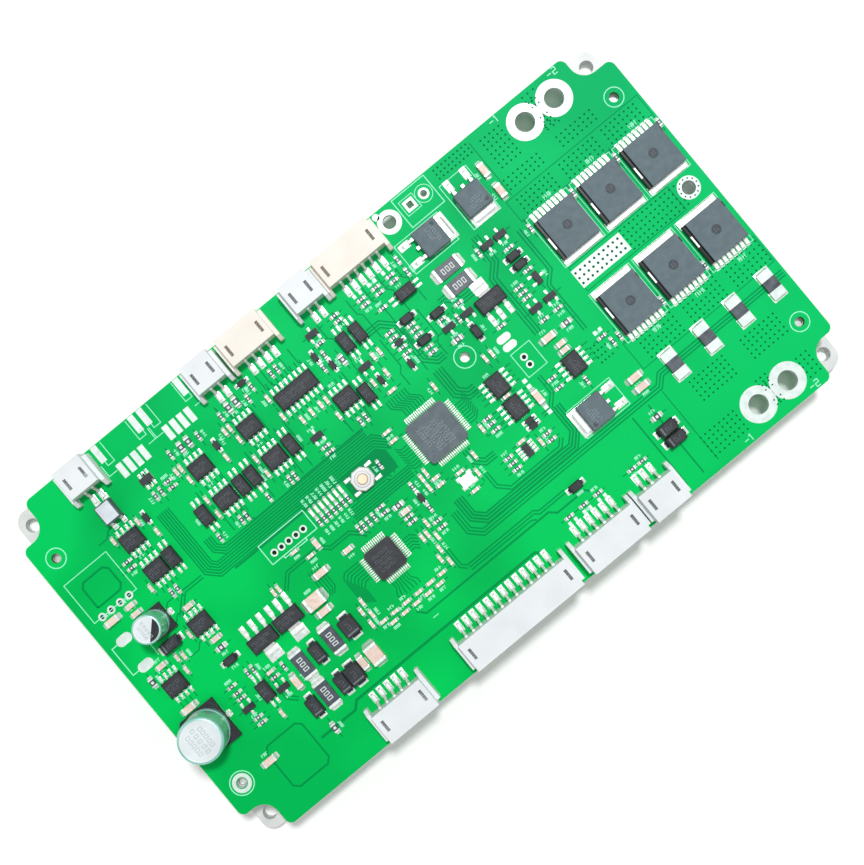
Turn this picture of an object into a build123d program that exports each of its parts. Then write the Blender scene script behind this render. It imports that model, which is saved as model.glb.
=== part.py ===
from build123d import *
import os

os.makedirs("parts", exist_ok=True)

# Battery management board on an aluminium base plate, in millimetres.
# The frame's origin is the middle of the plate's underside, +X runs along the board, +Z is up.

# Board. Places on it are read on a board of the drawn width; on another width the rows by its long edges
# keep their distance from them, and the rows between spread evenly.
board_length = 165.0
drawn_width = 90.0
edge_band = 15.0
board_width = 90.0
board_thickness = 1.6
notch_length = 6.8
notch_width = 7.9
rear_right_notch_length = 8.0
rear_right_notch_width = 6.8
notch_corner_radius = 3.8
notch_lip_radius = 1.6
spacer_hole_radius = 1.1
power_hole_radius = 2.2
terminal_hole_radius = 1.55
earth_hole_radius = 1.5
pin_hole_radius = 0.5
wire_hole_radius = 0.8

# Base plate and what stands on it
plate_thickness = 3.0
plate_corner_radius = 3.0
plate_gap = 7.0
ear_hole_radius = 1.6
ear_inset_length = 2.85
ear_inset_width = 3.75
heat_land_length = 35.5
heat_land_width = 13.0
heat_land_right_inset = 1.0
heat_pad_thickness = 1.0
heat_pad_margin = 0.3
spacer_radius = 2.3
spacer_bore_radius = 1.0
screw_radius = 0.96
screw_head_radius = 2.1
screw_head_recess = 0.1
screw_length = 9.2
screw_clearance = 0.25
screw_socket_radius = 0.8
screw_socket_depth = 0.7
screw_cone_angle = 90

# Connectors
contact_pitch = 2.0
housing_side_margin = 2.5
housing_height = 5.5
housing_depth = 6.9
housing_wall = 0.8
housing_back_wall = 1.3
wing_thickness = 0.9
wing_height = 3.4
wing_front_setback = 0.7
wing_reach = 1.7
wing_slope = 1.2
front_mouth_setback = 0.5
rear_mouth_setback = 0.05
latch_slot_width = 0.7
latch_slot_length = 2.7
latch_slot_setback = 2.4
latch_slot_margin = 1.1
contact_width = 0.6
contact_thickness = 0.4
contact_height = 2.7
contact_tip_setback = 1.4
contact_foot_reach = 3.0
contact_foot_length = 1.6
contact_clearance = 0.04

# Packages: body length along its leads, body width, height, and the span over the leads
mosfet_length = 10.0
mosfet_width = 10.0
mosfet_height = 2.3
mosfet_tab_length = 1.5
mosfet_lead_length = 1.5
mosfet_lead_width = 0.7
mosfet_lead_pitch = 1.2
mosfet_notch_length = 3.3
mosfet_notch_depth = 0.9
mosfet_tab_thickness = 0.5
package_edge = 0.35
can_height = 10.2
can_shoulder = 0.5
bead_height = 0.9
bead_depth = 0.35
base_height = 1.2
bead_low = base_height + 0.9
base_cut_share = 0.16
terminal_reach = 0.7
terminal_width = 0.9
switch_size = 5.1
switch_height = 1.5
switch_collar_radius = 1.75
switch_collar_height = 0.35
switch_button_radius = 1.1
switch_bore_radius = 1.2
switch_button_rise = 0.55
switch_button_edge = 0.15
switch_travel = 0.25
switch_floor = 0.5
switch_floor_clearance = 0.05
switch_foot_length = 0.9
switch_foot_width = 0.7
switch_foot_thickness = 0.25

board_bottom = plate_thickness + plate_gap
board_top = board_bottom + board_thickness
heat_land_height = plate_gap - heat_pad_thickness


def row(y):
    """Carries a row read on the drawn width to the board's own width."""
    if y <= edge_band:
        return y
    if y >= drawn_width - edge_band:
        return y + board_width - drawn_width
    return edge_band + (y - edge_band) * (board_width - 2 * edge_band) / (drawn_width - 2 * edge_band)


def spot(x, y, beyond=0.0):
    """Gives a place on the board in the part's frame.
    A distance counts from the left or front edge, and a negative one from the right or rear edge.
    What keeps its distance from a neighbour is given as far beyond that neighbour's row."""
    from_left = x - board_length / 2 if x >= 0 else x + board_length / 2
    from_front = row(y) - board_width / 2 if y >= 0 else y + board_width / 2
    return from_left, from_front + beyond


def spots(*places):
    return [spot(*place) for place in places]


def seats(*places, turn=0):
    """Places on the board's top face, for packages drawn about their own origin."""
    return [Location((*spot(*place), board_top), (0, 0, 1), turn) for place in places]


def save(builder, name):
    builder.part.label = name
    export_step(builder.part, f"parts/{name}.step")


spacer_places = spots((4.65, 13.65), (4.65, -13.65), (-4.65, 13.65), (-4.65, -13.65), (100, 53.7))
power_places = spots((-22.8, 5.6), (-14.7, 5.6), (-22.8, -5.6), (-14.7, -5.6))
pin_hole_places = spots((41.6, 47.4), (43.6, 47.4), (45.6, 47.4), (47.6, 47.4), (49.6, 47.4),
                        (4.3, 60.3), (6.75, 60.3), (9.25, 60.3), (11.7, 60.3),
                        (109.8, 45.6), (109.8, 43.6))
wire_hole_places = spots((111.8, -3.5), (115.6, -3.5))
heat_land_places = spots((-heat_land_right_inset - heat_land_length / 2, 40.2),
                         (-heat_land_right_inset - heat_land_length / 2, 61.3))

# Circuit board: an outline with four stepped corners, and its plated and plain holes
corner_notches = [(-1, -1, notch_length, notch_width), (-1, 1, notch_length, notch_width),
                  (1, -1, notch_length, notch_width),
                  (1, 1, rear_right_notch_length, rear_right_notch_width)]
with BuildPart() as circuit_board:
    with BuildSketch(Plane.XY.offset(board_bottom)):
        Rectangle(board_length, board_width)
        for side_x, side_y, across, along in corner_notches:
            with Locations((side_x * board_length / 2, side_y * board_width / 2)):
                Rectangle(2 * across, 2 * along, mode=Mode.SUBTRACT)
    extrude(amount=board_thickness)
    upright = circuit_board.edges().filter_by(Axis.Z)
    inner_corners = upright.sort_by(lambda edge: Vector(edge.center().X, edge.center().Y).length)[:4]
    outer_corners = [edge for edge in upright if edge not in inner_corners]
    fillet(inner_corners, radius=notch_corner_radius)
    fillet(outer_corners, radius=notch_lip_radius)
    for places, radius in ((spacer_places, spacer_hole_radius), (power_places, power_hole_radius),
                           (pin_hole_places, pin_hole_radius), (wire_hole_places, wire_hole_radius),
                           (spots((-4.65, 51.1)), terminal_hole_radius),
                           (spots((106, -3.6)), earth_hole_radius)):
        with Locations(*[(x, y, board_top) for x, y in places]):
            Hole(radius=radius)
save(circuit_board, "circuit_board")

# Base plate: a flat plate with ear holes in its corners, two raised heat lands and countersunk holes
ear_spacing_x = board_length - 2 * ear_inset_length
ear_spacing_y = board_width - 2 * ear_inset_width
with BuildPart() as base_plate:
    with BuildSketch():
        RectangleRounded(board_length, board_width, plate_corner_radius)
    extrude(amount=plate_thickness)
    with BuildSketch(Plane.XY.offset(plate_thickness)):
        with Locations(*heat_land_places):
            Rectangle(heat_land_length, heat_land_width)
    extrude(amount=heat_land_height)
    with Locations((0, 0, plate_thickness)):
        with GridLocations(ear_spacing_x, ear_spacing_y, 2, 2):
            Hole(radius=ear_hole_radius, depth=plate_thickness)
    with Locations(*[Location((x, y, 0), (180, 0, 0)) for x, y in spacer_places]):
        CounterSinkHole(radius=screw_radius + screw_clearance, depth=plate_thickness,
                        counter_sink_radius=screw_head_radius + screw_clearance,
                        counter_sink_angle=screw_cone_angle)
save(base_plate, "base_plate")

# Threaded spacers that stand on the plate under the board
with BuildPart() as board_spacers:
    with BuildSketch(Plane.XY.offset(plate_thickness)):
        with Locations(*spacer_places):
            Circle(spacer_radius)
            Circle(spacer_bore_radius, mode=Mode.SUBTRACT)
    extrude(amount=plate_gap)
save(board_spacers, "board_spacers")

# Countersunk screws, driven from below
cone_height = screw_head_radius - screw_radius
with BuildPart() as screw:
    with BuildSketch(Plane.XZ):
        with BuildLine():
            Polyline((0, 0), (screw_head_radius, 0), (screw_radius, cone_height),
                     (screw_radius, screw_length), (0, screw_length), close=True)
        make_face()
    revolve(axis=Axis.Z)
    with BuildSketch():
        RegularPolygon(radius=screw_socket_radius, side_count=6)
    extrude(amount=screw_socket_depth, mode=Mode.SUBTRACT)
with BuildPart() as plate_screws:
    with Locations(*[(x, y, screw_head_recess) for x, y in spacer_places]):
        add(screw.part)
save(plate_screws, "plate_screws")

# Silicone pads that carry heat from the board to the plate's lands
with BuildPart() as heat_pads:
    with BuildSketch(Plane.XY.offset(plate_thickness + heat_land_height)):
        with Locations(*heat_land_places):
            Rectangle(heat_land_length - 2 * heat_pad_margin, heat_land_width - 2 * heat_pad_margin)
    extrude(amount=heat_pad_thickness)
save(heat_pads, "heat_pads")


def connector_plane(x, side):
    """A plane on the board's edge: local X across the connector, local Y into the board."""
    edge_y = side * board_width / 2
    return Plane(origin=(x, edge_y, board_top), x_dir=(-side, 0, 0), z_dir=(0, 0, 1))


def offsets_of(count, pitch):
    return [(index - (count - 1) / 2) * pitch for index in range(count)]


def connector_housing(plane, count, mouth_setback):
    """Side-entry housing: a box open at the board's edge, with two latch slots and a wing each side."""
    body_width = contact_pitch * (count - 1) + 2 * housing_side_margin
    back = mouth_setback + housing_depth
    with BuildPart(plane) as housing:
        with Locations((0, mouth_setback, 0)):
            Box(body_width, housing_depth, housing_height, align=(Align.CENTER, Align.MIN, Align.MIN))
        with Locations((0, mouth_setback, housing_wall)):
            Box(body_width - 2 * housing_wall, housing_depth - housing_back_wall,
                housing_height - 2 * housing_wall, align=(Align.CENTER, Align.MIN, Align.MIN),
                mode=Mode.SUBTRACT)
        slot_place = contact_pitch * (count - 1) / 2 + latch_slot_margin
        for slot_x in (-slot_place, slot_place):
            with Locations((slot_x, mouth_setback + latch_slot_setback, housing_height - housing_wall)):
                Box(latch_slot_width, latch_slot_length, housing_wall,
                    align=(Align.CENTER, Align.MIN, Align.MIN), mode=Mode.SUBTRACT)
        for side in (-1, 1):
            wing_plane = plane * Plane(origin=(side * body_width / 2, 0, 0), x_dir=(0, 1, 0),
                                       z_dir=(side, 0, 0)).location
            wing_start = mouth_setback + wing_front_setback
            top = side * wing_height
            wing_end = back + wing_reach
            with BuildSketch(wing_plane):
                with BuildLine():
                    Polyline((wing_start, 0), (wing_end, 0), (wing_end, side * (wing_height - wing_slope)),
                             (wing_end - wing_slope, top), (wing_start, top), close=True)
                make_face()
            extrude(amount=wing_thickness)
        hole_size = contact_thickness + 2 * contact_clearance
        for offset in offsets_of(count, contact_pitch):
            with Locations((offset, back, contact_height)):
                Box(contact_width + 2 * contact_clearance, 2 * housing_back_wall, hole_size,
                    mode=Mode.SUBTRACT)
    return housing


def connector_contacts(plane, count, mouth_setback):
    """Bent contacts: a pin in the socket, through the back wall and down to a foot on the board."""
    back = mouth_setback + housing_depth
    half = contact_thickness / 2
    foot_end = back + contact_foot_reach
    with BuildPart() as contacts:
        for offset in offsets_of(count, contact_pitch):
            side_plane = plane * Plane(origin=(offset - contact_width / 2, 0, 0), x_dir=(0, 1, 0),
                                       z_dir=(1, 0, 0)).location
            with BuildSketch(side_plane):
                with BuildLine():
                    Polyline((mouth_setback + contact_tip_setback, contact_height - half),
                             (mouth_setback + contact_tip_setback, contact_height + half),
                             (back + 2 * half, contact_height + half),
                             (foot_end - contact_foot_length + half, contact_thickness),
                             (foot_end, contact_thickness), (foot_end, 0),
                             (foot_end - contact_foot_length, 0),
                             (back + half, contact_height - half), close=True)
                make_face()
            extrude(amount=contact_width)
    return contacts


# Connectors: name, number of ways, place along the edge, and the edge, -1 for front and 1 for rear
connectors = [("front_5_way", 5, 42.3, -1), ("front_13_way", 13, 74.15, -1), ("front_6_way", 6, 99.35, -1),
              ("front_3_way", 3, 113.5, -1), ("rear_2_way_left", 2, 20.05, 1),
              ("rear_2_way_middle", 2, 54.85, 1), ("rear_4_way", 4, 66.3, 1),
              ("rear_2_way_right", 2, 81.7, 1), ("rear_6_way", 6, 94.6, 1)]
for name, count, along_edge, side in connectors:
    edge_plane = connector_plane(spot(along_edge, 0)[0], side)
    setback = front_mouth_setback if side < 0 else rear_mouth_setback
    save(connector_housing(edge_plane, count, setback), f"connector_{name}_housing")
    save(connector_contacts(edge_plane, count, setback), f"connector_{name}_contacts")


def power_transistor():
    """Leadless power package: tab on one side, eight leads on the other, a notch in each end."""
    with BuildPart() as transistor:
        Box(mosfet_length, mosfet_width, mosfet_height, align=(Align.CENTER, Align.CENTER, Align.MIN))
        chamfer(transistor.faces().sort_by(Axis.Z)[-1].edges(), length=package_edge)
        for end in (-1, 1):
            with Locations((end * mosfet_length / 2, 0, mosfet_tab_thickness)):
                Box(2 * mosfet_notch_depth, mosfet_notch_length, mosfet_height,
                    align=(Align.CENTER, Align.CENTER, Align.MIN), mode=Mode.SUBTRACT)
        with Locations((0, mosfet_width / 2, 0)):
            Box(mosfet_length - 2 * package_edge, mosfet_tab_length, mosfet_tab_thickness,
                align=(Align.CENTER, Align.MIN, Align.MIN))
        with Locations((0, -mosfet_width / 2, 0)):
            with GridLocations(mosfet_lead_pitch, 0, 8, 1):
                Box(mosfet_lead_width, mosfet_lead_length, mosfet_tab_thickness,
                    align=(Align.CENTER, Align.MAX, Align.MIN))
    return transistor.part


# Six power transistors in two rows, tabs facing each other
transistor_columns = (-30.5, -18.6, -6.7)
transistor_rows = ((40.2, 0), (61.3, 180))
number = 0
for row_y, turn in transistor_rows:
    for column_x in transistor_columns:
        number += 1
        with BuildPart() as mosfet:
            with Locations(*seats((column_x, row_y), turn=turn)):
                add(power_transistor())
        save(mosfet, f"power_transistor_{number}")

# Packages with bent leads: name, body along the leads, body across, height, leads a side, pitch,
# lead width and the span over the feet
lead_thickness = 0.2
lead_foot_share = 0.55
body_lift = 0.1


def leaded_body(body_along, body_across, height, edge=0.0):
    Box(body_along, body_across, height - body_lift, align=(Align.CENTER, Align.CENTER, Align.MIN))
    if edge:
        chamfer(edges(Select.LAST).group_by(Axis.Z)[-1], length=edge)


def lead_row(side, offsets, body_across, height, span, width):
    """One side's leads: each leaves the body at half height and slopes down to a flat foot."""
    exit_height = height / 2
    foot = lead_foot_share * (span - body_across) / 2
    exit_y = side * body_across / 2
    bend_y = side * (span / 2 - foot)
    tip_y = side * span / 2
    for offset in offsets:
        plane = Plane(origin=(offset - width / 2, 0, 0), x_dir=(0, 1, 0), z_dir=(1, 0, 0))
        with BuildSketch(plane) as profile:
            with BuildLine():
                Polyline((exit_y, exit_height), (bend_y, lead_thickness), (tip_y, lead_thickness),
                         (tip_y, 0), (bend_y, 0), (exit_y, exit_height - 2 * lead_thickness), close=True)
            make_face()
        extrude(profile.sketch, amount=width)


def dual_package(body_along, body_across, height, span, pitch, width, rear, front, edge=0.0):
    """Body with a row of leads on two sides; rear and front count the leads."""
    with BuildPart() as package:
        with Locations((0, 0, body_lift)):
            leaded_body(body_along, body_across, height, edge)
        lead_row(1, offsets_of(rear, pitch), body_across, height, span, width)
        lead_row(-1, offsets_of(front, pitch), body_across, height, span, width)
    return package.part


def quad_package(body, height, span, pitch, width, count, edge):
    """Square body with leads on all four sides."""
    with BuildPart() as package:
        with Locations((0, 0, body_lift)):
            Box(body, body, height - body_lift, align=(Align.CENTER, Align.CENTER, Align.MIN))
        chamfer(package.edges().filter_by(Axis.Z), length=edge)
    with BuildPart() as one_side:
        lead_row(1, offsets_of(count, pitch), body, height, span, width)
    with BuildPart() as whole:
        add(package.part)
        with PolarLocations(0, 4):
            add(one_side.part)
    return whole.part


def place_all(name, *groups):
    """One node from like packages: each group is a part, its places and its turn about Z."""
    with BuildPart() as node:
        for part, places, turn in groups:
            with Locations(*seats(*places, turn=turn)):
                add(part)
    save(node, name)


# Microcontroller and cell monitor, flat packages with leads on four sides
flat_height = 1.5
flat_edge = 0.5
flat_leads = dict(height=flat_height, pitch=0.5, width=0.24, edge=flat_edge)
place_all("microcontroller", (quad_package(body=10.0, span=12.0, count=16, **flat_leads),
                              [(85.05, 45.1)], 0))
place_all("cell_monitor", (quad_package(body=7.0, span=9.0, count=12, **flat_leads),
                           [(59.35, 31.3)], 0))

# Dual packages
chip_edge = 0.25
small_outline = dict(body_across=3.9, height=1.55, span=6.0, pitch=1.27, width=0.42, edge=chip_edge)
eight_pin = dual_package(body_along=4.9, rear=4, front=4, **small_outline)
place_all("chips_8_pin",
          (eight_pin, [(7.3, 39.1), (19.9, 45.8), (19.95, 60.7), (20.0, 69.0), (41.25, 71.55),
                       (54.85, 71.55), (41.2, 63.05), (54.85, 63.05), (74.65, 63.1)], 0),
          (eight_pin, [(101.5, 41.5, 3.1), (101.5, 41.5, -3.1), (117.1, 37.65)], 90))
place_all("chip_16_pin", (dual_package(body_along=9.9, rear=8, front=8, **small_outline),
                          [(67.6, 71.3)], 0))
tiny_eight_pin = dual_package(body_along=2.9, body_across=1.6, height=0.9, span=3.2, pitch=0.8,
                              width=0.36, rear=4, front=4)
tiny_six_pin = dual_package(body_along=3.0, body_across=1.6, height=1.1, span=2.9, pitch=0.95,
                            width=0.4, rear=3, front=3)
place_all("chips_small", (tiny_eight_pin, [(97.65, 29.7)], 90), (tiny_six_pin, [(30.6, 77.0)], 0))
coupler = dual_package(body_along=2.6, body_across=4.4, height=2.0, span=7.0, pitch=1.27, width=0.4,
                       rear=2, front=2, edge=chip_edge)
place_all("optocouplers",
          (coupler, [(35.3, 63.1), (45.6, 63.05), (48.7, 63.05), (59.3, 63.05), (24.2, 60.8),
                     (21.4, 25.8), (78.85, 61.1), (82.3, 72.4), (85.7, 72.4)], 0),
          (coupler, [(99.0, 72.55)], 90))
tall_coupler = dual_package(body_along=3.8, body_across=4.6, height=3.1, span=6.6, pitch=2.54, width=0.9,
                            rear=2, front=2, edge=chip_edge)
place_all("coupler_large", (tall_coupler, [(20.1, 76.7)], 0))
three_pin = dual_package(body_along=2.9, body_across=1.3, height=1.0, span=2.5, pitch=1.9, width=0.42,
                         rear=2, front=1)
place_all("small_transistors",
          (three_pin, [(16.2, 25.2), (24.7, 23.9), (101.4, 60.8), (118.4, 52.1), (119.0, 69.2)], 0),
          (three_pin, [(64.6, 60.8), (77.8, 78.4), (82.2, 65.8), (106.4, 60.7), (122.3, 52.1),
                       (122.5, 69.2)], 180),
          (three_pin, [(122.8, 57.0)], 90))


# Regulators: three leads on one side and a wide tab on the other
def regulator(body_along, body_across, height, span, pitch, lead_width, tab_width, edge):
    with BuildPart() as package:
        with Locations((0, 0, body_lift)):
            leaded_body(body_along, body_across, height, edge)
        lead_row(1, offsets_of(3, pitch), body_across, height, span, lead_width)
        lead_row(-1, offsets_of(1, pitch), body_across, height, span, tab_width)
    return package.part


power_regulator = regulator(body_along=6.5, body_across=3.5, height=1.6, span=7.0, pitch=2.3,
                            lead_width=0.8, tab_width=3.0, edge=chip_edge)
regulator_places = [(27.95, 34.6, 0), (34.95, 34.6, 0), (111.95, 59.6, 180)]
for index, (x, y, turn) in enumerate(regulator_places, start=1):
    place_all(f"regulator_{index}", (power_regulator, [(x, y)], turn))


# Drain-tab transistors: two formed leads, a cut middle lead and a metal tab under the body's far end
tab_body_width = 6.5
tab_body_depth = 6.1
tab_body_height = 2.3
tab_width = 5.3
tab_reach = 1.2
tab_thickness = 0.5
tab_lead_pitch = 4.57
tab_lead_width = 0.8
tab_lead_span = 11.3
stub_length = 0.8
with BuildPart() as tab_transistor:
    with Locations((0, 0, tab_thickness / 2)):
        Box(tab_body_width, tab_body_depth, tab_body_height - tab_thickness / 2,
            align=(Align.CENTER, Align.CENTER, Align.MIN))
    chamfer(tab_transistor.faces().sort_by(Axis.Z)[-1].edges(), length=package_edge)
    Box(tab_width, tab_body_depth / 2 + tab_reach, tab_thickness,
        align=(Align.CENTER, Align.MIN, Align.MIN))
    lead_row(-1, offsets_of(2, tab_lead_pitch), tab_body_depth, tab_body_height, tab_lead_span,
             tab_lead_width)
    with Locations((0, -tab_body_depth / 2, tab_body_height / 2)):
        Box(tab_lead_width, stub_length, tab_thickness, align=(Align.CENTER, Align.MAX, Align.CENTER))
tab_transistor_places = [(110.6, 78.0, 270), (122.9, 78.7, 180), (114.1, 26.9, 90)]
for index, (x, y, turn) in enumerate(tab_transistor_places, start=1):
    place_all(f"tab_transistor_{index}", (tab_transistor.part, [(x, y)], turn))


# Moulded diodes: a body whose two flat leads fold under its ends
def diode(length, width, height, lead_width, lead_reach, edge=0.0):
    with BuildPart() as package:
        with Locations((0, 0, body_lift)):
            leaded_body(length, width, height, edge)
        Box(length + 2 * lead_reach, lead_width, lead_thickness,
            align=(Align.CENTER, Align.CENTER, Align.MIN))
    return package.part


wide_diode = diode(length=4.3, width=3.6, height=2.3, lead_width=2.0, lead_reach=0.5, edge=chip_edge)
large_diode = diode(length=4.2, width=2.6, height=2.2, lead_width=1.4, lead_reach=0.5, edge=chip_edge)
medium_diode = diode(length=2.8, width=1.8, height=1.2, lead_width=1.0, lead_reach=0.5, edge=chip_edge)
small_diode = diode(length=1.7, width=1.25, height=0.9, lead_width=0.4, lead_reach=0.4)
place_all("diodes_large",
          (wide_diode, [(44.1, 25.0), (38.5, 16.4)], 90),
          (large_diode, [(27.5, 16.5), (35.3, 16.5), (35.3, 25.0)], 90),
          (large_diode, [(12.1, 46.4), (123.7, 14.3), (123.7, 11.4)], 0))
place_all("diodes_small",
          (medium_diode, [(95.6, 68.0), (95.6, 62.1), (101.4, 64.8), (121.8, 63.8), (121.8, 61.5),
                          (100.6, 17.1), (19.7, 35.7)], 0),
          (medium_diode, [(105.4, 56.3)], 90),
          (small_diode, [(59.4, 80.0), (91.1, 65.2), (102.0, 41.5, -7.1), (102.0, 41.5, -8.5)], 0),
          (small_diode, [(46.8, 73.1), (75.1, 74.2), (77.0, 70.5), (73.5, 36.4), (90.2, 60.0),
                         (83.0, 61.4), (25.2, 70.8)], 90))


def chip(length, width, height):
    """Plain ceramic chip; its soldered ends are a matter of finish."""
    with BuildPart() as body:
        Box(length, width, height, align=(Align.CENTER, Align.CENTER, Align.MIN))
    return body.part


power_resistor = chip(length=6.3, width=3.2, height=0.6)
place_all("power_resistors",
          (power_resistor, [(109.2, 70.7), (109.2, 66.6)], 0),
          (power_resistor, [(31.1, 25.0), (31.1, 16.95), (39.4, 25.2)], 90))

# Current shunts: a resistance strip that bridges two thick copper ends
shunt_length = 6.6
shunt_width = 3.2
shunt_end_length = 2.0
shunt_end_height = 0.75
shunt_strip_height = 0.95
shunt_strip_rise = 0.25
with BuildPart() as shunt:
    Box(shunt_width, shunt_length, shunt_end_height, align=(Align.CENTER, Align.CENTER, Align.MIN))
    Box(shunt_width, shunt_length - 2 * shunt_end_length, shunt_strip_height,
        align=(Align.CENTER, Align.CENTER, Align.MIN))
    Box(shunt_width, shunt_length - 2 * shunt_end_length, shunt_strip_rise,
        align=(Align.CENTER, Align.CENTER, Align.MIN), mode=Mode.SUBTRACT)
place_all("current_shunts", (shunt.part, [(-31.2, 23.8), (-22.2, 23.8), (-13.3, 23.8), (-4.4, 23.8)], 0))

# Ceramic capacitors in the larger sizes
block_capacitor = chip(length=4.5, width=3.2, height=2.0)
large_capacitor = chip(length=3.2, width=1.6, height=1.2)
medium_capacitor = chip(length=2.0, width=1.25, height=0.9)
place_all("ceramic_capacitors_large",
          (block_capacitor, [(41.8, 33.95)], 0), (block_capacitor, [(44.5, 17.0)], 90),
          (large_capacitor, [(46.6, 37.7), (41.9, 30.9), (6.3, 27.0, 6.3), (5.5, 58.2), (12.4, 13.6),
                                 (125.2, 27.1), (125.2, 24.6), (116.4, 45.5)], 0),
          (large_capacitor, [(41.3, 17.1), (-36.4, -7.9), (-36.4, -13.6), (27.7, 23.0),
                                 (106.6, 37.1)], 90),
          (medium_capacitor, [(10.5, 51.9, 6.4), (10.5, 51.9, 4.3), (7.4, 44.1), (20.1, 50.3), (20.2, 41.2),
                                  (54.2, 37.8), (117.7, 37.65, 5.15), (117.4, 37.65, 3.55),
                                  (69.0, 36.3)], 0),
          (medium_capacitor, [(49.8, 43.1)], 90))

# Small chips, as they lie: across the board's length or along its width
small_chip = dict(length=1.6, width=0.8)
small_resistor = chip(**small_chip, height=0.45)
small_capacitor = chip(**small_chip, height=0.8)
medium_resistor = chip(length=2.0, width=1.25, height=0.55)
place_all(
    "chip_resistors",
    (small_resistor,
     [(16.2, 31.0), (16.2, 29.2), (16.2, 27.8), (16.4, 22.3), (16.4, 20.9), (24.7, 26.7),
      (15.9, 66.0), (15.9, 64.4), (33.8, 73.8), (33.8, 72.2), (64.7, 57.9), (64.7, 56.5),
      (65.3, 40.4), (65.4, 38.9), (68.8, 34.9), (68.8, 33.6), (73.0, 30.3), (73.0, 28.7),
      (93.4, 31.0), (93.4, 29.5), (93.4, 28.0), (103.1, 29.8), (103.1, 28.1),
      (95.4, 12.9), (99.4, 12.9), (103.4, 12.9), (112.3, 12.2), (115.1, 12.2),
      (95.2, 40.4), (95.2, 39.0), (95.2, 37.4), (111.5, 38.2), (111.5, 35.7),
      (110.3, 53.8), (95.4, 58.9), (95.4, 60.3), (95.4, 63.7), (95.4, 65.1), (95.4, 66.4),
      (90.8, 68.0), (90.8, 66.6), (91.0, 63.8), (91.0, 62.3), (101.3, 63.1), (106.3, 63.5),
      (84.0, 78.4), (84.0, 77.0), (77.9, 75.8), (93.1, 73.0), (90.7, 77.4), (90.7, 76.0),
      (94.7, 77.4), (94.7, 76.0), (98.7, 77.4), (98.7, 76.0), (118.4, 57.8), (118.4, 56.4),
      (118.4, 55.0), (122.4, 59.5), (122.3, 65.7), (118.3, 49.0), (122.1, 49.0), (125.5, 38.3)], 0),
    (small_resistor,
     [(20.7, 31.0), (22.1, 31.0), (27.6, 27.3), (19.2, 54.7), (20.7, 54.7), (34.7, 57.3),
      (29.7, 73.0), (31.3, 73.0), (40.7, 57.3), (42.1, 57.3), (48.3, 57.3), (54.3, 57.3),
      (55.6, 57.3), (73.9, 57.3), (75.4, 57.3), (71.1, 47.6), (37.8, 77.8), (45.0, 77.1),
      (51.4, 77.2), (58.4, 76.5), (60.6, 78.0), (65.6, 77.5), (67.2, 77.5), (75.1, 71.2),
      (77.0, 73.3), (73.5, 39.4), (73.5, 33.6), (58.9, 39.6), (60.1, 39.6), (61.5, 39.6),
      (63.0, 39.6), (102.1, 79.0), (102.1, 75.7), (104.2, 61.0), (117.0, 33.2), (126.6, 36.0),
      (128.5, 36.0), (-24.6, 36.0), (-12.7, 36.0), (128.5, 66.0), (-24.6, 66.0), (-12.6, 66.0),
      (-0.7, 66.0), (116.5, 69.0)], 90),
    (medium_resistor, [(19.9, 39.0), (101.2, 57.6), (121.5, 45.5), (123.6, 17.5), (68.6, 38.2)], 0),
    (medium_resistor, [(3.7, 42.5), (27.7, 10.1), (40.6, 77.6), (42.6, 77.6), (53.9, 77.7),
                       (55.9, 77.7), (79.4, 70.0)], 90))
lower_row = [(50.3 + 3.27 * index, 21.1) for index in range(6)]
upper_row = [(52.0 + 3.2 * index, 19.6) for index in range(5)]
place_all(
    "chip_capacitors",
    (small_capacitor,
     lower_row + upper_row +
     [(24.7, 28.2), (45.0, 44.8), (47.2, 41.9), (76.7, 51.9), (76.7, 49.6), (83.5, 30.2), (97.7, 31.95),
      (78.5, 37.7), (78.5, 35.9), (83.4, 35.3), (83.3, 58.1), (101.5, 41.5)], 0),
    (small_capacitor,
     [(21.0, 19.7), (11.2, 43.3), (12.6, 42.7), (11.1, 40.0), (16.5, 45.4), (16.4, 58.3),
      (36.1, 40.8), (37.4, 40.8), (16.6, 71.2), (23.3, 71.2), (25.2, 66.9), (36.5, 74.1), (37.7, 74.1),
      (48.0, 25.6), (49.4, 27.1), (49.4, 23.8), (48.0, 22.2), (68.3, 23.6), (69.6, 25.3), (69.6, 21.9),
      (70.9, 27.8), (70.9, 31.4), (68.2, 29.5), (69.5, 29.5), (76.2, 39.5), (76.2, 36.9), (77.6, 39.9),
      (46.8, 69.7), (37.7, 71.0), (50.0, 74.1), (51.3, 74.1), (51.4, 70.9), (61.7, 73.7),
      (61.7, 68.7), (37.7, 65.3), (37.7, 61.4), (51.4, 65.4), (51.4, 61.4), (64.5, 65.5), (67.1, 65.5),
      (69.6, 65.5), (71.2, 65.5), (71.1, 61.2), (101.0, 29.1), (88.1, 36.2), (86.3, 32.8), (90.8, 53.0),
      (93.0, 39.5), (103.1, 50.6), (104.9, 50.6), (84.9, 66.3), (86.6, 66.3), (81.3, 61.9),
      (84.9, 61.9)], 90))

# A bank of seven light-emitting diodes, each with its resistor below it
led_pitch = 1.33
led_start = 53.3
led_places = [led_start + led_pitch * index for index in range(7)]
place_all("light_diodes", (small_capacitor, [(x, 48.8) for x in led_places], 90))
place_all("light_diode_resistors", (small_resistor, [(x, 46.3) for x in led_places], 90))

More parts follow.
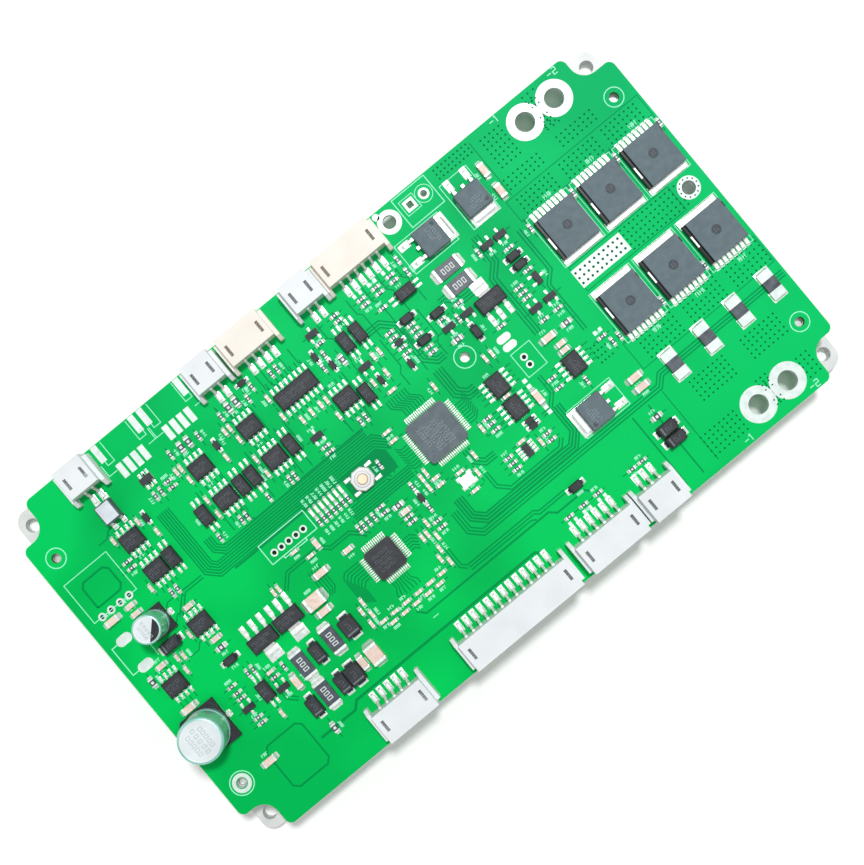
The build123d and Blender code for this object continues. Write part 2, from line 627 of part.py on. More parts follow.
# Crystal: a ceramic pan with a metal lid
crystal_length = 3.2
crystal_width = 2.5
crystal_pan_height = 0.5
crystal_lid_height = 0.25
crystal_lid_margin = 0.2
with BuildPart() as crystal:
    Box(crystal_length, crystal_width, crystal_pan_height, align=(Align.CENTER, Align.CENTER, Align.MIN))
    with Locations((0, 0, crystal_pan_height)):
        Box(crystal_length - 2 * crystal_lid_margin, crystal_width - 2 * crystal_lid_margin,
            crystal_lid_height, align=(Align.CENTER, Align.CENTER, Align.MIN))
place_all("crystal", (crystal.part, [(83.5, 33.0)], 0))


# Electrolytic capacitors: a beaded can in a moulded base with two flat terminals
def can(radius):
    """Drawn can with a rolled bead above the base and a broken shoulder."""
    with BuildPart() as body:
        with BuildSketch(Plane.XZ):
            with BuildLine():
                Polyline((0, base_height), (radius, base_height), (radius, bead_low),
                         (radius - bead_depth, bead_low + bead_height / 2),
                         (radius, bead_low + bead_height), (radius, can_height - can_shoulder),
                         (radius - can_shoulder, can_height), (0, can_height), close=True)
            make_face()
        revolve(axis=Axis.Z)
    return body.part


def can_base(size):
    """Square base with two cut corners on the positive side; the terminals leave it left and right."""
    with BuildPart() as base:
        Box(size, size, base_height, align=(Align.CENTER, Align.CENTER, Align.MIN))
        chamfer(base.edges().filter_by(Axis.Z).group_by(Axis.X)[0], length=base_cut_share * size)
        Box(size + 2 * terminal_reach, terminal_width, lead_thickness,
            align=(Align.CENTER, Align.CENTER, Align.MIN))
    return base.part


cans = [("large", (6.4, 27.0), 5.0, 10.3), ("small", (12.5, 51.9), 3.15, 6.6)]
for name, place, radius, base_size in cans:
    place_all(f"electrolytic_{name}_can", (can(radius), [place], 0))
    place_all(f"electrolytic_{name}_base", (can_base(base_size), [place], 0))

# Push switch: a square housing with four feet and a round collar, and the button that slides in its bore
switch_place = (66.4, 47.5)
with BuildPart() as switch_housing:
    Box(switch_size, switch_size, switch_height, align=(Align.CENTER, Align.CENTER, Align.MIN))
    chamfer(switch_housing.edges().filter_by(Axis.Z), length=package_edge)
    with Locations((0, 0, switch_height)):
        Cylinder(switch_collar_radius, switch_collar_height, align=(Align.CENTER, Align.CENTER, Align.MIN))
    with Locations((0, 0, switch_floor)):
        Cylinder(switch_bore_radius, switch_height, align=(Align.CENTER, Align.CENTER, Align.MIN),
                 mode=Mode.SUBTRACT)
    foot_y = switch_size / 2 - switch_foot_width
    for side_x in (-1, 1):
        for side_y in (-1, 1):
            with Locations((side_x * switch_size / 2, side_y * foot_y, switch_foot_thickness / 2)):
                Box(2 * switch_foot_length, switch_foot_width, switch_foot_thickness)
place_all("switch_housing", (switch_housing.part, [switch_place], 0))
button_low = switch_floor + switch_floor_clearance + switch_travel
button_top = switch_height + switch_collar_height + switch_button_rise
with BuildPart() as switch_button:
    with Locations((0, 0, button_low)):
        Cylinder(switch_button_radius, button_top - button_low,
                 align=(Align.CENTER, Align.CENTER, Align.MIN))
    chamfer(switch_button.faces().sort_by(Axis.Z)[-1].edges(), length=switch_button_edge)
place_all("switch_button", (switch_button.part, [switch_place], 0))
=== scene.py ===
import math
import random

import bmesh
import bpy
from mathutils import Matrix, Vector


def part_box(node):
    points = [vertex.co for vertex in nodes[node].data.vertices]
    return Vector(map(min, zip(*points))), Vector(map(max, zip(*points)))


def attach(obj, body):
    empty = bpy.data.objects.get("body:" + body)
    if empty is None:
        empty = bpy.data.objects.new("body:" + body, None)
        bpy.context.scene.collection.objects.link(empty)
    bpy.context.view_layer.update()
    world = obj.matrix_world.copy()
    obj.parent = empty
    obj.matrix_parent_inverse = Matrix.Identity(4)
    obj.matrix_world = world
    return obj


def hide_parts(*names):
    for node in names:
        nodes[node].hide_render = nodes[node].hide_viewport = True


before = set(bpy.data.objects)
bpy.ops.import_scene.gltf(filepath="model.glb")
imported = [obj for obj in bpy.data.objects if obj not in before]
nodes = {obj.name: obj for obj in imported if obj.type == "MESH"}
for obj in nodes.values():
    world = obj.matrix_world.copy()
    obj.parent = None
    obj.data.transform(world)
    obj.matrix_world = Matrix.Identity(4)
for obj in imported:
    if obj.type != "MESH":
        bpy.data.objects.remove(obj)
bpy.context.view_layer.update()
rng = random.Random(7)

# Places are read in millimetres from the board's front left corner; heights are the frame's own.
MM = 0.001
board_low, board_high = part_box("circuit_board")
LENGTH = (board_high.x - board_low.x) / MM
WIDTH = (board_high.y - board_low.y) / MM
TOP = board_high.z / MM

# The photograph is taken from straight above the middle of the board, with the board turned in the picture
IMAGE_WIDTH = 864
IMAGE_SCALE = 4.649
CAMERA_HEIGHT = 275.0
CAMERA_FOOT = (84.2, 45.7)
CAMERA_TURN = -39.6
SENSOR = 36.0
CLIP_RANGE = (0.005, 20)

# Lamps as name, place, size and power, the even light from all round, and the floor
LAMPS = (("key_light", (0.26, 0.31, 1.22), 0.16, 10.2), ("fill_light", (0, 0, 1.3), 0.3, 1.6))
WORLD_LIGHT = 0.44
FLOOR_SIZE = 1.1
FLOOR_GAP = 0.00005
FLOOR_COLOUR = (0.98, 0.98, 0.98, 1)
FLOOR_FADE = (0.12, 0.4)


def world_point(x, y, z):
    return Vector(((x - LENGTH / 2) * MM, (y - WIDTH / 2) * MM, z * MM))


# Shader nodes: an input is a plain value or another node's output
def feed(tree, node, inputs):
    for socket, source in inputs.items():
        if isinstance(source, bpy.types.NodeSocket):
            tree.links.new(source, node.inputs[socket])
        else:
            node.inputs[socket].default_value = source


def add_node(tree, kind, inputs=None, **settings):
    node = tree.nodes.new("ShaderNode" + kind)
    for key, setting in settings.items():
        setattr(node, key, setting)
    feed(tree, node, inputs or {})
    return node


def node_material(name):
    material = bpy.data.materials.new(name)
    material.use_nodes = True
    tree = material.node_tree
    return material, tree, tree.nodes["Principled BSDF"]


def object_place(tree):
    return add_node(tree, "TexCoord").outputs["Object"]


# Camera, light and floor
def make_camera():
    data = bpy.data.cameras.new("camera")
    camera = bpy.data.objects.new("camera", data)
    bpy.context.scene.collection.objects.link(camera)
    camera.location = world_point(*CAMERA_FOOT, TOP + CAMERA_HEIGHT)
    camera.rotation_euler = (0, 0, math.radians(CAMERA_TURN))
    data.sensor_fit = "HORIZONTAL"
    data.sensor_width = SENSOR
    data.lens = SENSOR * IMAGE_SCALE * CAMERA_HEIGHT / IMAGE_WIDTH
    data.clip_start, data.clip_end = CLIP_RANGE
    bpy.context.scene.camera = camera


def make_lamp(name, place, size, power):
    """A round lamp that is turned to the middle of the board."""
    data = bpy.data.lights.new(name, "AREA")
    data.shape = "DISK"
    data.size = size
    data.energy = power
    lamp = bpy.data.objects.new(name, data)
    bpy.context.scene.collection.objects.link(lamp)
    lamp.location = place
    lamp.rotation_euler = (Vector() - Vector(place)).to_track_quat("-Z", "Y").to_euler()


def make_world():
    """Even pale light from all round; the camera and the reflections see plain white behind the floor."""
    world = bpy.data.worlds.new("studio")
    bpy.context.scene.world = world
    world.use_nodes = True
    tree = world.node_tree
    rays = add_node(tree, "LightPath").outputs
    seen = rays["Is Camera Ray"]
    for kind in ("Is Glossy Ray", "Is Transmission Ray"):
        seen = add_node(tree, "Math", {0: seen, 1: rays[kind]}, operation="MAXIMUM").outputs["Value"]
    strength = add_node(tree, "MapRange", {"To Min": WORLD_LIGHT, "To Max": 1.0, "Value": seen})
    feed(tree, tree.nodes["Background"], {"Color": (1, 1, 1, 1), "Strength": strength.outputs["Result"]})


def make_floor():
    """A pale floor that keeps the shadow near the object and fades to plain white away from it."""
    bpy.ops.mesh.primitive_plane_add(size=FLOOR_SIZE, location=(0, 0, -FLOOR_GAP))
    floor = bpy.context.object
    floor.name = "studio_floor"
    material, tree, shader = node_material("studio_floor")
    feed(tree, shader, {"Base Color": FLOOR_COLOUR, "Roughness": 0.9, "Specular IOR Level": 0.0})
    distance = add_node(tree, "VectorMath", {0: object_place(tree)}, operation="LENGTH")
    fade = add_node(tree, "MapRange", {"From Min": FLOOR_FADE[0], "From Max": FLOOR_FADE[1],
                                       "Value": distance.outputs["Value"]})
    camera_ray = add_node(tree, "LightPath").outputs["Is Camera Ray"]
    seen = add_node(tree, "Math", {0: fade.outputs["Result"], 1: camera_ray}, operation="MULTIPLY")
    glow = add_node(tree, "Emission")
    mix = add_node(tree, "MixShader", {"Fac": seen.outputs["Value"], 1: shader.outputs["BSDF"],
                                       2: glow.outputs["Emission"]})
    feed(tree, tree.nodes["Material Output"], {"Surface": mix.outputs["Shader"]})
    floor.data.materials.append(material)


bpy.context.scene.view_settings.view_transform = "Standard"
make_camera()
make_world()
make_floor()
for lamp in LAMPS:
    make_lamp(*lamp)


# Materials; colours are given as they show on screen, 0 to 255
GRAIN_DEPTH = 0.00005
MASK_SLANT = (0.641, 0.767, 0)
MASK_RANGE = (-0.035, 0.075)


def linear(colour):
    def channel(value):
        value = value / 255
        return value / 12.92 if value <= 0.04045 else ((value + 0.055) / 1.055) ** 2.4
    return (*map(channel, colour), 1)


def noise(tree, scale, detail=3.0):
    inputs = {"Scale": scale, "Detail": detail, "Vector": object_place(tree)}
    return add_node(tree, "TexNoise", inputs).outputs["Fac"]


def ramp(tree, source, low, high, start=0.3, end=0.7):
    shade = add_node(tree, "ValToRGB", {"Fac": source})
    for element, position, colour in zip(shade.color_ramp.elements, (start, end), (low, high)):
        element.position = position
        element.color = linear(colour)
    return shade.outputs["Color"]


def add_grain(tree, shader, scale, strength):
    relief = add_node(tree, "Bump", {"Strength": strength, "Distance": GRAIN_DEPTH,
                                     "Height": noise(tree, scale, 2.0)})
    feed(tree, shader, {"Normal": relief.outputs["Normal"]})


def finish_of(name, low, high, roughness, scale=900, bump=0, bump_scale=4000, metallic=0, specular=0.5,
              coat=0):
    """A surface whose colour drifts between two tones and whose grain is a fine bump."""
    material, tree, shader = node_material(name)
    feed(tree, shader, {"Base Color": ramp(tree, noise(tree, scale), low, high), "Roughness": roughness,
                        "Metallic": metallic, "Coat Weight": coat, "Specular IOR Level": specular})
    if bump:
        add_grain(tree, shader, bump_scale, bump)
    return material


def mask_of(name, front_low, front_high, rear_low, rear_high):
    """Solder mask; the copper under it leaves soft lighter and darker areas, and the right rear is bluer."""
    material, tree, shader = node_material(name)
    across = add_node(tree, "VectorMath", {0: object_place(tree), 1: MASK_SLANT}, operation="DOT_PRODUCT")
    along = add_node(tree, "MapRange", {"From Min": MASK_RANGE[0], "From Max": MASK_RANGE[1],
                                        "Value": across.outputs["Value"]})
    tone = noise(tree, 38, 1.0)
    mix = add_node(tree, "Mix", {"Factor": along.outputs["Result"],
                                 6: ramp(tree, tone, front_low, front_high, 0.4, 0.6),
                                 7: ramp(tree, tone, rear_low, rear_high, 0.4, 0.6)}, data_type="RGBA")
    add_grain(tree, shader, 1500, 0.05)
    feed(tree, shader, {"Base Color": mix.outputs[2], "Roughness": 0.45, "Specular IOR Level": 0.03})
    return material


# Masks: front left pair of tones, rear right pair of tones
MASKS = {
    "mask": ((0, 178, 80), (0, 198, 89), (12, 178, 102), (16, 192, 110)),
    "track": ((0, 140, 70), (0, 150, 74), (4, 136, 86), (8, 144, 90)),
}
# Finishes: two tones, roughness, scale of the tones, strength and scale of the grain, metallic, specular
# and coat
FINISHES = {
    "laminate": ((70, 140, 60), (110, 165, 85), 0.7, 2500),
    "silk": ((140, 236, 200), (175, 250, 220), 0.6, 3000),
    "pad": ((194, 208, 204), (216, 227, 223), 0.45, 700, 0.2, 900, 0.15),
    "solder": ((190, 202, 197), (228, 234, 230), 0.3, 1600, 0.3, 1500, 0.35),
    "lead": ((206, 211, 208), (232, 235, 232), 0.35, 1800, 0.15, 4000, 0.3),
    "steel": ((176, 178, 178), (202, 203, 202), 0.4, 900, 0, 4000, 0.5),
    "silver": ((202, 204, 204), (217, 218, 218), 0.5, 300, 0.25, 2500, 0.1),
    "silicone": ((120, 130, 140), (140, 150, 158), 0.8, 900, 0.4),
    # painted shade: flat discs that stand for small holes take this dark colour in place of the shade inside
    # the holes
    "painted_hole_shade": ((4, 92, 56), (10, 106, 66), 0.7, 2000, 0, 4000, 0, 0.05),
    "epoxy": ((84, 95, 102), (98, 110, 117), 0.55, 600, 0.5, 9000, 0, 0.25),
    "epoxy_dark": ((34, 37, 42), (50, 53, 58), 0.5, 600, 0.5, 9000, 0, 0.25),
    "epoxy_top": ((88, 104, 110), (98, 115, 121), 0.6, 700, 0.5, 9000, 0, 0.25),
    "epoxy_dimple": ((48, 56, 62), (66, 76, 82), 0.5, 1500, 0, 4000, 0, 0.25),
    # painted shade: the near-black tone on the power transistors' left side, ledge and notch, which are the
    # same moulding as their top
    "painted_side_shade": ((14, 15, 18), (26, 28, 32), 0.3, 600, 0, 4000, 0, 0.25),
    "coupler_top": ((188, 196, 206), (212, 220, 228), 0.5, 500, 0.2),
    "epoxy_print": ((92, 99, 106), (108, 116, 122), 0.7, 3000),
    "pale_print": ((142, 153, 160), (156, 166, 172), 0.7, 3000),
    "print": ((205, 210, 210), (230, 234, 232), 0.6, 2500),
    "ceramic": ((212, 186, 172), (234, 214, 202), 0.5, 900, 0.2),
    "glaze": ((60, 70, 78), (82, 92, 100), 0.35, 900, 0, 4000, 0, 0.25),
    "shunt": ((52, 58, 64), (78, 84, 90), 0.4, 900, 0, 4000, 0.4, 0.25),
    "light_lens": ((244, 246, 228), (255, 255, 244), 0.25, 900, 0, 4000, 0, 0.5, 0.3),
    "white": ((215, 221, 223), (225, 230, 232), 0.5, 160, 0.15, 5000),
    "cream": ((226, 220, 210), (235, 230, 221), 0.5, 160, 0.15, 5000),
    "can_side": ((126, 190, 178), (166, 214, 203), 0.25, 200, 0, 4000, 0.35),
    "can_top": ((204, 213, 215), (218, 226, 228), 0.45, 200, 0.1, 4000, 0.1),
    "can_print": ((150, 160, 166), (176, 184, 190), 0.6),
    "black": ((22, 24, 28), (38, 40, 46), 0.45, 500, 0.3, 4000, 0, 0.25),
    "peach": ((248, 214, 178), (255, 228, 198), 0.45, 900, 0.1),
}
MATERIALS = {name: mask_of(name, *values) for name, values in MASKS.items()}
MATERIALS |= {name: finish_of(name, *values) for name, values in FINISHES.items()}


# Reading the CAD nodes
def board_mm(point):
    return point.x / MM + LENGTH / 2, point.y / MM + WIDTH / 2, point.z / MM


class Solid:
    """One separate solid of a node: its box in board millimetres and its faces."""

    def __init__(self, points, faces):
        self.low, self.high = ([end(axis) for axis in zip(*points)] for end in (min, max))
        self.faces = faces
        self.x, self.y = ((self.low[k] + self.high[k]) / 2 for k in range(2))
        self.size = [high - low for low, high in zip(self.low, self.high)]


def solids(name):
    """The separate solids of a node, found by the corners that their faces share, from left to right."""
    mesh = nodes[name].data
    keys = {}
    owner = []
    for vertex in mesh.vertices:
        owner.append(keys.setdefault(tuple(round(c * 1e6) for c in vertex.co), len(keys)))
    parent = list(range(len(keys)))

    def root(index):
        while parent[index] != index:
            parent[index] = parent[parent[index]]
            index = parent[index]
        return index

    for face in mesh.polygons:
        first = root(owner[face.vertices[0]])
        for corner in face.vertices[1:]:
            parent[root(owner[corner])] = first
    groups = {}
    for face in mesh.polygons:
        groups.setdefault(root(owner[face.vertices[0]]), []).append(face.index)
    found = []
    for faces in groups.values():
        points = [board_mm(mesh.vertices[c].co) for f in faces for c in mesh.polygons[f].vertices]
        found.append(Solid(points, faces))
    return sorted(found, key=lambda s: (round(s.x, 1), round(s.y, 1)))


def is_turned(solid, along):
    """Tells whether a package's rows of leads run along the board's width."""
    return abs(solid.size[1] - along) < abs(solid.size[0] - along)


def ends_of(solid):
    """Length, width and height of a chip, and its turn."""
    length, width, height = solid.size
    if length >= width:
        return length, width, height, 0
    return width, length, height, 90


def spread(count, pitch):
    """Places of a row, centred on zero."""
    return [(index - (count - 1) / 2) * pitch for index in range(count)]


# Building meshes. Each flat strip lies a step higher than the one before, up to a number of steps, so that
# strips that cross don't share a height. A bend sharper than the limit is cut short.
LINE_STEP = 0.00015
LINE_STEPS = 50
SHARPEST_BEND = 0.4
WAYS = (-1, 1)


def beside(path, shift):
    """The path moved sideways; it keeps its distance at the bends."""
    moved = []
    for k, (x, y) in enumerate(path):
        normals = []
        for a, b in ((k - 1, k), (k, k + 1)):
            if 0 <= a and b < len(path):
                dx, dy = path[b][0] - path[a][0], path[b][1] - path[a][1]
                length = math.hypot(dx, dy)
                normals.append((-dy / length, dx / length))
        nx, ny = (sum(axis) / len(normals) for axis in zip(*normals))
        size = math.hypot(nx, ny)
        scale = size * max(SHARPEST_BEND, size)
        moved.append((x + shift * nx / scale, y + shift * ny / scale))
    return moved


class Pile:
    """Shapes in millimetres, gathered into one mesh; a shape is drawn about the place and turn set last."""

    def __init__(self):
        self.points, self.faces, self.tones = [], [], []
        self.lines = 0
        self.place()

    def place(self, x=0.0, y=0.0, turn=0, z=TOP):
        self.x, self.y, self.z = x, y, z
        self.cos, self.sin = math.cos(math.radians(turn)), math.sin(math.radians(turn))

    def add(self, points, faces, tone=0):
        start = len(self.points)
        for u, v, w in points:
            self.points.append(world_point(self.x + u * self.cos - v * self.sin,
                                           self.y + u * self.sin + v * self.cos, self.z + w))
        self.faces += [tuple(start + index for index in face) for face in faces]
        self.tones += [tone] * len(faces)

    def loft(self, rings, tone=0, bottom=True, top=True):
        """Joins rings of points, each with the same number of points, into one skin."""
        count = len(rings[0])
        points = [point for ring in rings for point in ring]
        faces = []
        for base in range(0, len(points) - count, count):
            for index in range(count):
                after = (index + 1) % count
                faces.append((base + index, base + after, base + count + after, base + count + index))
        if bottom:
            faces.append(tuple(reversed(range(count))))
        if top:
            faces.append(tuple(range(len(points) - count, len(points))))
        self.add(points, faces, tone)

    def block(self, x0, y0, z0, x1, y1, z1, edge=0.0, tone=0):
        """A box whose upright edges and top edges are broken by edge; its sides come in any order."""
        x0, x1 = sorted((x0, x1))
        y0, y1 = sorted((y0, y1))

        def ring(inset, z, cut):
            a, b, c, d = x0 + inset, y0 + inset, x1 - inset, y1 - inset
            if not cut:
                return [(a, b, z), (c, b, z), (c, d, z), (a, d, z)]
            return [(a + cut, b, z), (c - cut, b, z), (c, b + cut, z), (c, d - cut, z),
                    (c - cut, d, z), (a + cut, d, z), (a, d - cut, z), (a, b + cut, z)]

        if edge:
            levels = ((0, z0), (0, z1 - edge), (edge * 0.3, z1 - edge * 0.3), (edge, z1))
            rings = [ring(inset, z, edge * 0.6) for inset, z in levels]
        else:
            rings = [ring(0, z0, 0), ring(0, z1, 0)]
        self.loft(rings, tone)

    def circle(self, x, y, radius, z, count):
        turns = [2 * math.pi * index / count for index in range(count)]
        return [(x + radius * math.cos(t), y + radius * math.sin(t), z) for t in turns]

    def lathe(self, x, y, profile, count=48, tone=0, bottom=True, top=True):
        """Turns a profile of (radius, height) points about an upright axis."""
        self.loft([self.circle(x, y, radius, z, count) for radius, z in profile], tone, bottom, top)

    def disc(self, x, y, radius, z0, z1, count=24, tone=0, edge=0.0):
        profile = [(radius, z0), (radius, z1 - edge)]
        if edge:
            profile.append((radius - edge, z1))
        self.lathe(x, y, profile, count, tone)

    def ring(self, x, y, outer, inner, z1, count):
        profile = [(outer, 0), (outer, z1), (inner, z1), (inner, 0)]
        self.lathe(x, y, profile, count, 0, False, False)

    def line(self, path, width, z0=0.0, z1=0.02, tone=0):
        """A flat strip along a path, with mitred bends."""
        sides = zip(beside(path, width / 2), beside(path, -width / 2))
        self.lines += 1
        z1 += self.lines % LINE_STEPS * LINE_STEP
        rings = [[(*left, z0), (*left, z1), (*right, z1), (*right, z0)] for left, right in sides]
        self.loft(rings, tone)

    def frame(self, x0, y0, x1, y1, width, z0=0.0, z1=0.02, tone=0):
        half = width / 2
        for path in ([(x0 - half, y0), (x1 + half, y0)], [(x0 - half, y1), (x1 + half, y1)],
                     [(x0, y0), (x0, y1)], [(x1, y0), (x1, y1)]):
            self.line(path, width, z0, z1, tone)

    def fillet(self, x, y, heading, width, reach, height):
        """Solder that climbs from the board at reach from an end face up to height on that face."""
        across = (-heading[1], heading[0])
        rings = []
        for share in (0.0, 0.35, 0.7, 1.0):
            out = reach * (1 - share)
            half = width / 2 * (0.72 + 0.28 * share)
            rise = height * share ** 1.8 + 0.02
            spread_out = half + 0.06
            rings.append([(x + heading[0] * out + across[0] * s, y + heading[1] * out + across[1] * s, z)
                          for s, z in ((-spread_out, 0), (-half, rise), (half, rise), (spread_out, 0))])
        self.loft(rings)

    def make(self, name, keys, slot=None, replaced=None, smooth=False):
        """Turns the pile into a piece that rides on the board, and may stand for a CAD node."""
        mesh = bpy.data.meshes.new(name)
        mesh.from_pydata([tuple(p) for p in self.points], [], self.faces)
        for key in keys:
            mesh.materials.append(MATERIALS[key])
        mesh.polygons.foreach_set("material_index", self.tones)
        mesh.update()
        piece = bpy.data.objects.new(name, mesh)
        bpy.context.scene.collection.objects.link(piece)
        finish_mesh(mesh, smooth)
        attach(piece, "board")
        if replaced:
            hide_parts(replaced)


def finish_mesh(mesh, smooth, limit=35):
    """Turns the faces outward; if asked, smooths the skin but for edges sharper than limit."""
    work = bmesh.new()
    work.from_mesh(mesh)
    bmesh.ops.recalc_face_normals(work, faces=work.faces)
    if smooth:
        for edge in work.edges:
            edge.smooth = len(edge.link_faces) == 2 and edge.calc_face_angle() < math.radians(limit)
        for face in work.faces:
            face.smooth = True
    work.to_mesh(mesh)
    work.free()


# Finishes of the CAD nodes that show. A pick takes a face's place in its solid and its normal, and gives the
# number of its material.
PLATED = ((142.2, 5.6, 2.2), (150.3, 5.6, 2.2), (142.2, 84.4, 2.2), (150.3, 84.4, 2.2), (160.35, 51.1, 1.55),
          (106.0, 86.4, 1.5), (115.6, 86.5, 0.8), (4.65, 13.65, 1.1))


def paint(name, *keys, pick=None):
    mesh = nodes[name].data
    mesh.materials.clear()
    for key in keys:
        mesh.materials.append(MATERIALS[key])
    for face in mesh.polygons:
        face.material_index = 0
    if pick:
        for solid in solids(name):
            for index in solid.faces:
                face = mesh.polygons[index]
                x, y, z = board_mm(face.center)
                face.material_index = pick(solid, x - solid.x, y - solid.y, z - solid.low[2], face.normal)


def outside(half):
    """Leads of a square package: what lies beyond the body's half size."""
    return lambda solid, u, v, w, normal: int(max(abs(u), abs(v)) > half + 0.01)


def two_sided(along, across):
    """Leads on two sides: along is the body's size along their rows, across the size between them."""
    def pick(solid, u, v, w, normal):
        return int(abs(u if is_turned(solid, along) else v) > across / 2 + 0.01)
    return pick


def board_face(solid, u, v, w, normal):
    """Mask above and below, plating in the plated holes, and bare laminate on all other sides."""
    if abs(normal.z) > 0.5:
        return 0
    place = (solid.x + u, solid.y + v)
    return 2 if any(math.dist(place, (x, y)) < radius + 0.1 for x, y, radius in PLATED) else 1


def coupler_face(solid, u, v, w, normal):
    return 1 if abs(v) > 2.31 else 2 * int(normal.z > 0.9)


def can_base_face(solid, u, v, w, normal):
    return int(w < 0.21 and abs(u) > min(solid.size) / 2 - 0.01)


def shunt_face(solid, u, v, w, normal):
    return int(abs(v) < 1.31)


def crystal_face(solid, u, v, w, normal):
    return int(w > 0.55 or normal.z > 0.5)


MOSFETS = [f"power_transistor_{number}" for number in range(1, 7)]
REGULATORS = [f"regulator_{number}" for number in range(1, 4)]
HOUSINGS = [name for name in nodes if name.startswith("connector") and name.endswith("housing")]
for name, key in (("base_plate", "silver"), ("board_spacers", "steel"), ("plate_screws", "steel"),
                  ("heat_pads", "silicone"), ("diodes_large", "epoxy_dark"), ("diodes_small", "epoxy_dark"),
                  ("switch_button", "peach")):
    paint(name, key)
for name, along, across in (("chips_8_pin", 4.9, 3.9), ("chip_16_pin", 9.9, 3.9), ("chips_small", 2.9, 1.6),
                            ("optocouplers", 2.6, 4.4), ("small_transistors", 2.9, 1.3),
                            *((name, 6.5, 3.5) for name in REGULATORS)):
    paint(name, "epoxy_dark", "lead", pick=two_sided(along, across))
for name in HOUSINGS:
    paint(name, "cream" if "rear_4" in name or "rear_6" in name else "white")
    paint(name.replace("housing", "contacts"), "lead")
for size in ("large", "small"):
    paint(f"electrolytic_{size}_base", "black", "lead", pick=can_base_face)
paint("circuit_board", "mask", "laminate", "pad", pick=board_face)
paint("microcontroller", "epoxy", "lead", pick=outside(5))
paint("cell_monitor", "epoxy_dark", "lead", pick=outside(3.5))
paint("coupler_large", "epoxy", "lead", "coupler_top", pick=coupler_face)
paint("current_shunts", "pad", "shunt", pick=shunt_face)
paint("crystal", "ceramic", "lead", pick=crystal_face)


# Small chips: a body between two plated ends, and solder that climbs the ends
MARK_RISE = 0.02
CAP_SHARE = 0.9


def make_chips(name, body_key, slot, share, mark=None, waist=0, dome=0, reach=0.5):
    """Draws each solid of a node as a chip; share is how much of the length each plated end takes."""
    pile, joints = Pile(), Pile()
    for solid in solids(name):
        length, width, height, turn = ends_of(solid)
        for target in (pile, joints):
            target.place(solid.x, solid.y, turn)
        end = share * length
        half, side = length / 2, width / 2
        edge = 0.06 * height + 0.02
        inner = half - end * CAP_SHARE
        pile.block(-half + end * CAP_SHARE, -side + waist, 0.03, inner, side - waist, height - dome, edge)
        for way in WAYS:
            pile.block(way * half, -side, 0, way * (half - end), side, height, edge, 1)
            joints.fillet(way * half, 0, (way, 0), width * 0.96, min(reach, 0.3 * width + 0.2), height * 0.72)
        if mark:
            top = height - dome
            pile.block(-length * 0.14, -side * 0.5, top, length * 0.14, side * 0.5, top + MARK_RISE, 0, 2)
    pile.make(name + "_dressed", [body_key, "solder"] + ([mark] if mark else []), slot, name)
    joints.make(name + "_solder", ["solder"], smooth=True)


make_chips("chip_resistors", "glaze", "resistor_body", 0.2, "print", dome=0.03)
make_chips("chip_capacitors", "ceramic", "capacitor_body", 0.24, waist=0.02)
make_chips("ceramic_capacitors_large", "ceramic", "capacitor_body", 0.17, waist=0.03, reach=0.8)
make_chips("light_diodes", "light_lens", "clear_white_plastic", 0.2, waist=0.05)
make_chips("light_diode_resistors", "glaze", "resistor_body", 0.2, "print", dome=0.03)


# Power resistors: a dark glazed top with plated ends, and a value of three plain noughts
def make_power_resistors():
    pile, joints = Pile(), Pile()
    for solid in solids("power_resistors"):
        length, width, height, turn = ends_of(solid)
        half, side = length / 2, width / 2
        for target in (pile, joints):
            target.place(solid.x, solid.y, turn)
        pile.block(-half + 0.5, -side, 0, half - 0.5, side, height - 0.05, 0.03)
        pile.block(-half + 0.75, -side + 0.2, height - 0.06, half - 0.75, side - 0.2, height - 0.01, 0.02)
        for way in WAYS:
            pile.block(way * half, -side, 0, way * (half - 0.62), side, height, 0.05, 1)
            joints.fillet(way * half, 0, (way, 0), width, 0.85, height * 0.8)
        for u in (-1.15, 0, 1.15):
            pile.frame(u - 0.3, -0.55, u + 0.3, 0.55, 0.18, height - 0.01, height + 0.01, 2)
    pile.make("power_resistors_dressed", ["glaze", "solder", "print"], "resistor_body", "power_resistors")
    joints.make("power_resistors_solder", ["solder"], smooth=True)


make_power_resistors()


# Aluminium electrolytic capacitors: a can with a rolled bead, print on its top, and solder at its base
BEAD_PLACE = 0.16
BEAD_DEPTH = 0.08
BEAD_WIDTH = 0.9
BEAD_STEPS = 9
ROUND_EDGE = 0.12
ROUND_STEPS = 8
CAN_RECESS = 0.04
PATCH_TURNS = range(-22, 117, 4)


def make_can_skin(name, can, radius, tall):
    """The turned can; gives the radius of its top's rim."""
    bead = BEAD_PLACE * tall
    round_edge = ROUND_EDGE * radius
    profile = [(radius - 0.12, 0), (radius, 0.08), (radius, bead)]
    for step in range(1, BEAD_STEPS):
        depth = BEAD_DEPTH * radius * math.sin(math.pi * step / BEAD_STEPS)
        profile.append((radius - depth, bead + BEAD_WIDTH * step / BEAD_STEPS))
    profile.append((radius, bead + BEAD_WIDTH))
    for step in range(ROUND_STEPS + 1):
        turn = math.pi / 2 * step / ROUND_STEPS
        profile.append((radius - round_edge * (1 - math.cos(turn)), tall - round_edge * (1 - math.sin(turn))))
    rim = profile[-1][0]
    skin = Pile()
    skin.place(can.x, can.y, z=can.low[2])
    skin.lathe(0, 0, profile, 96, 0, top=False)
    skin.lathe(0, 0, [(rim, tall), (rim - 0.12, tall - 0.03), (rim - 0.2, tall - CAN_RECESS)], 96, 1, False)
    skin.make(name + "_can_dressed", ["can_side", "can_top"], "can_aluminium", name + "_can", smooth=True)
    return rim


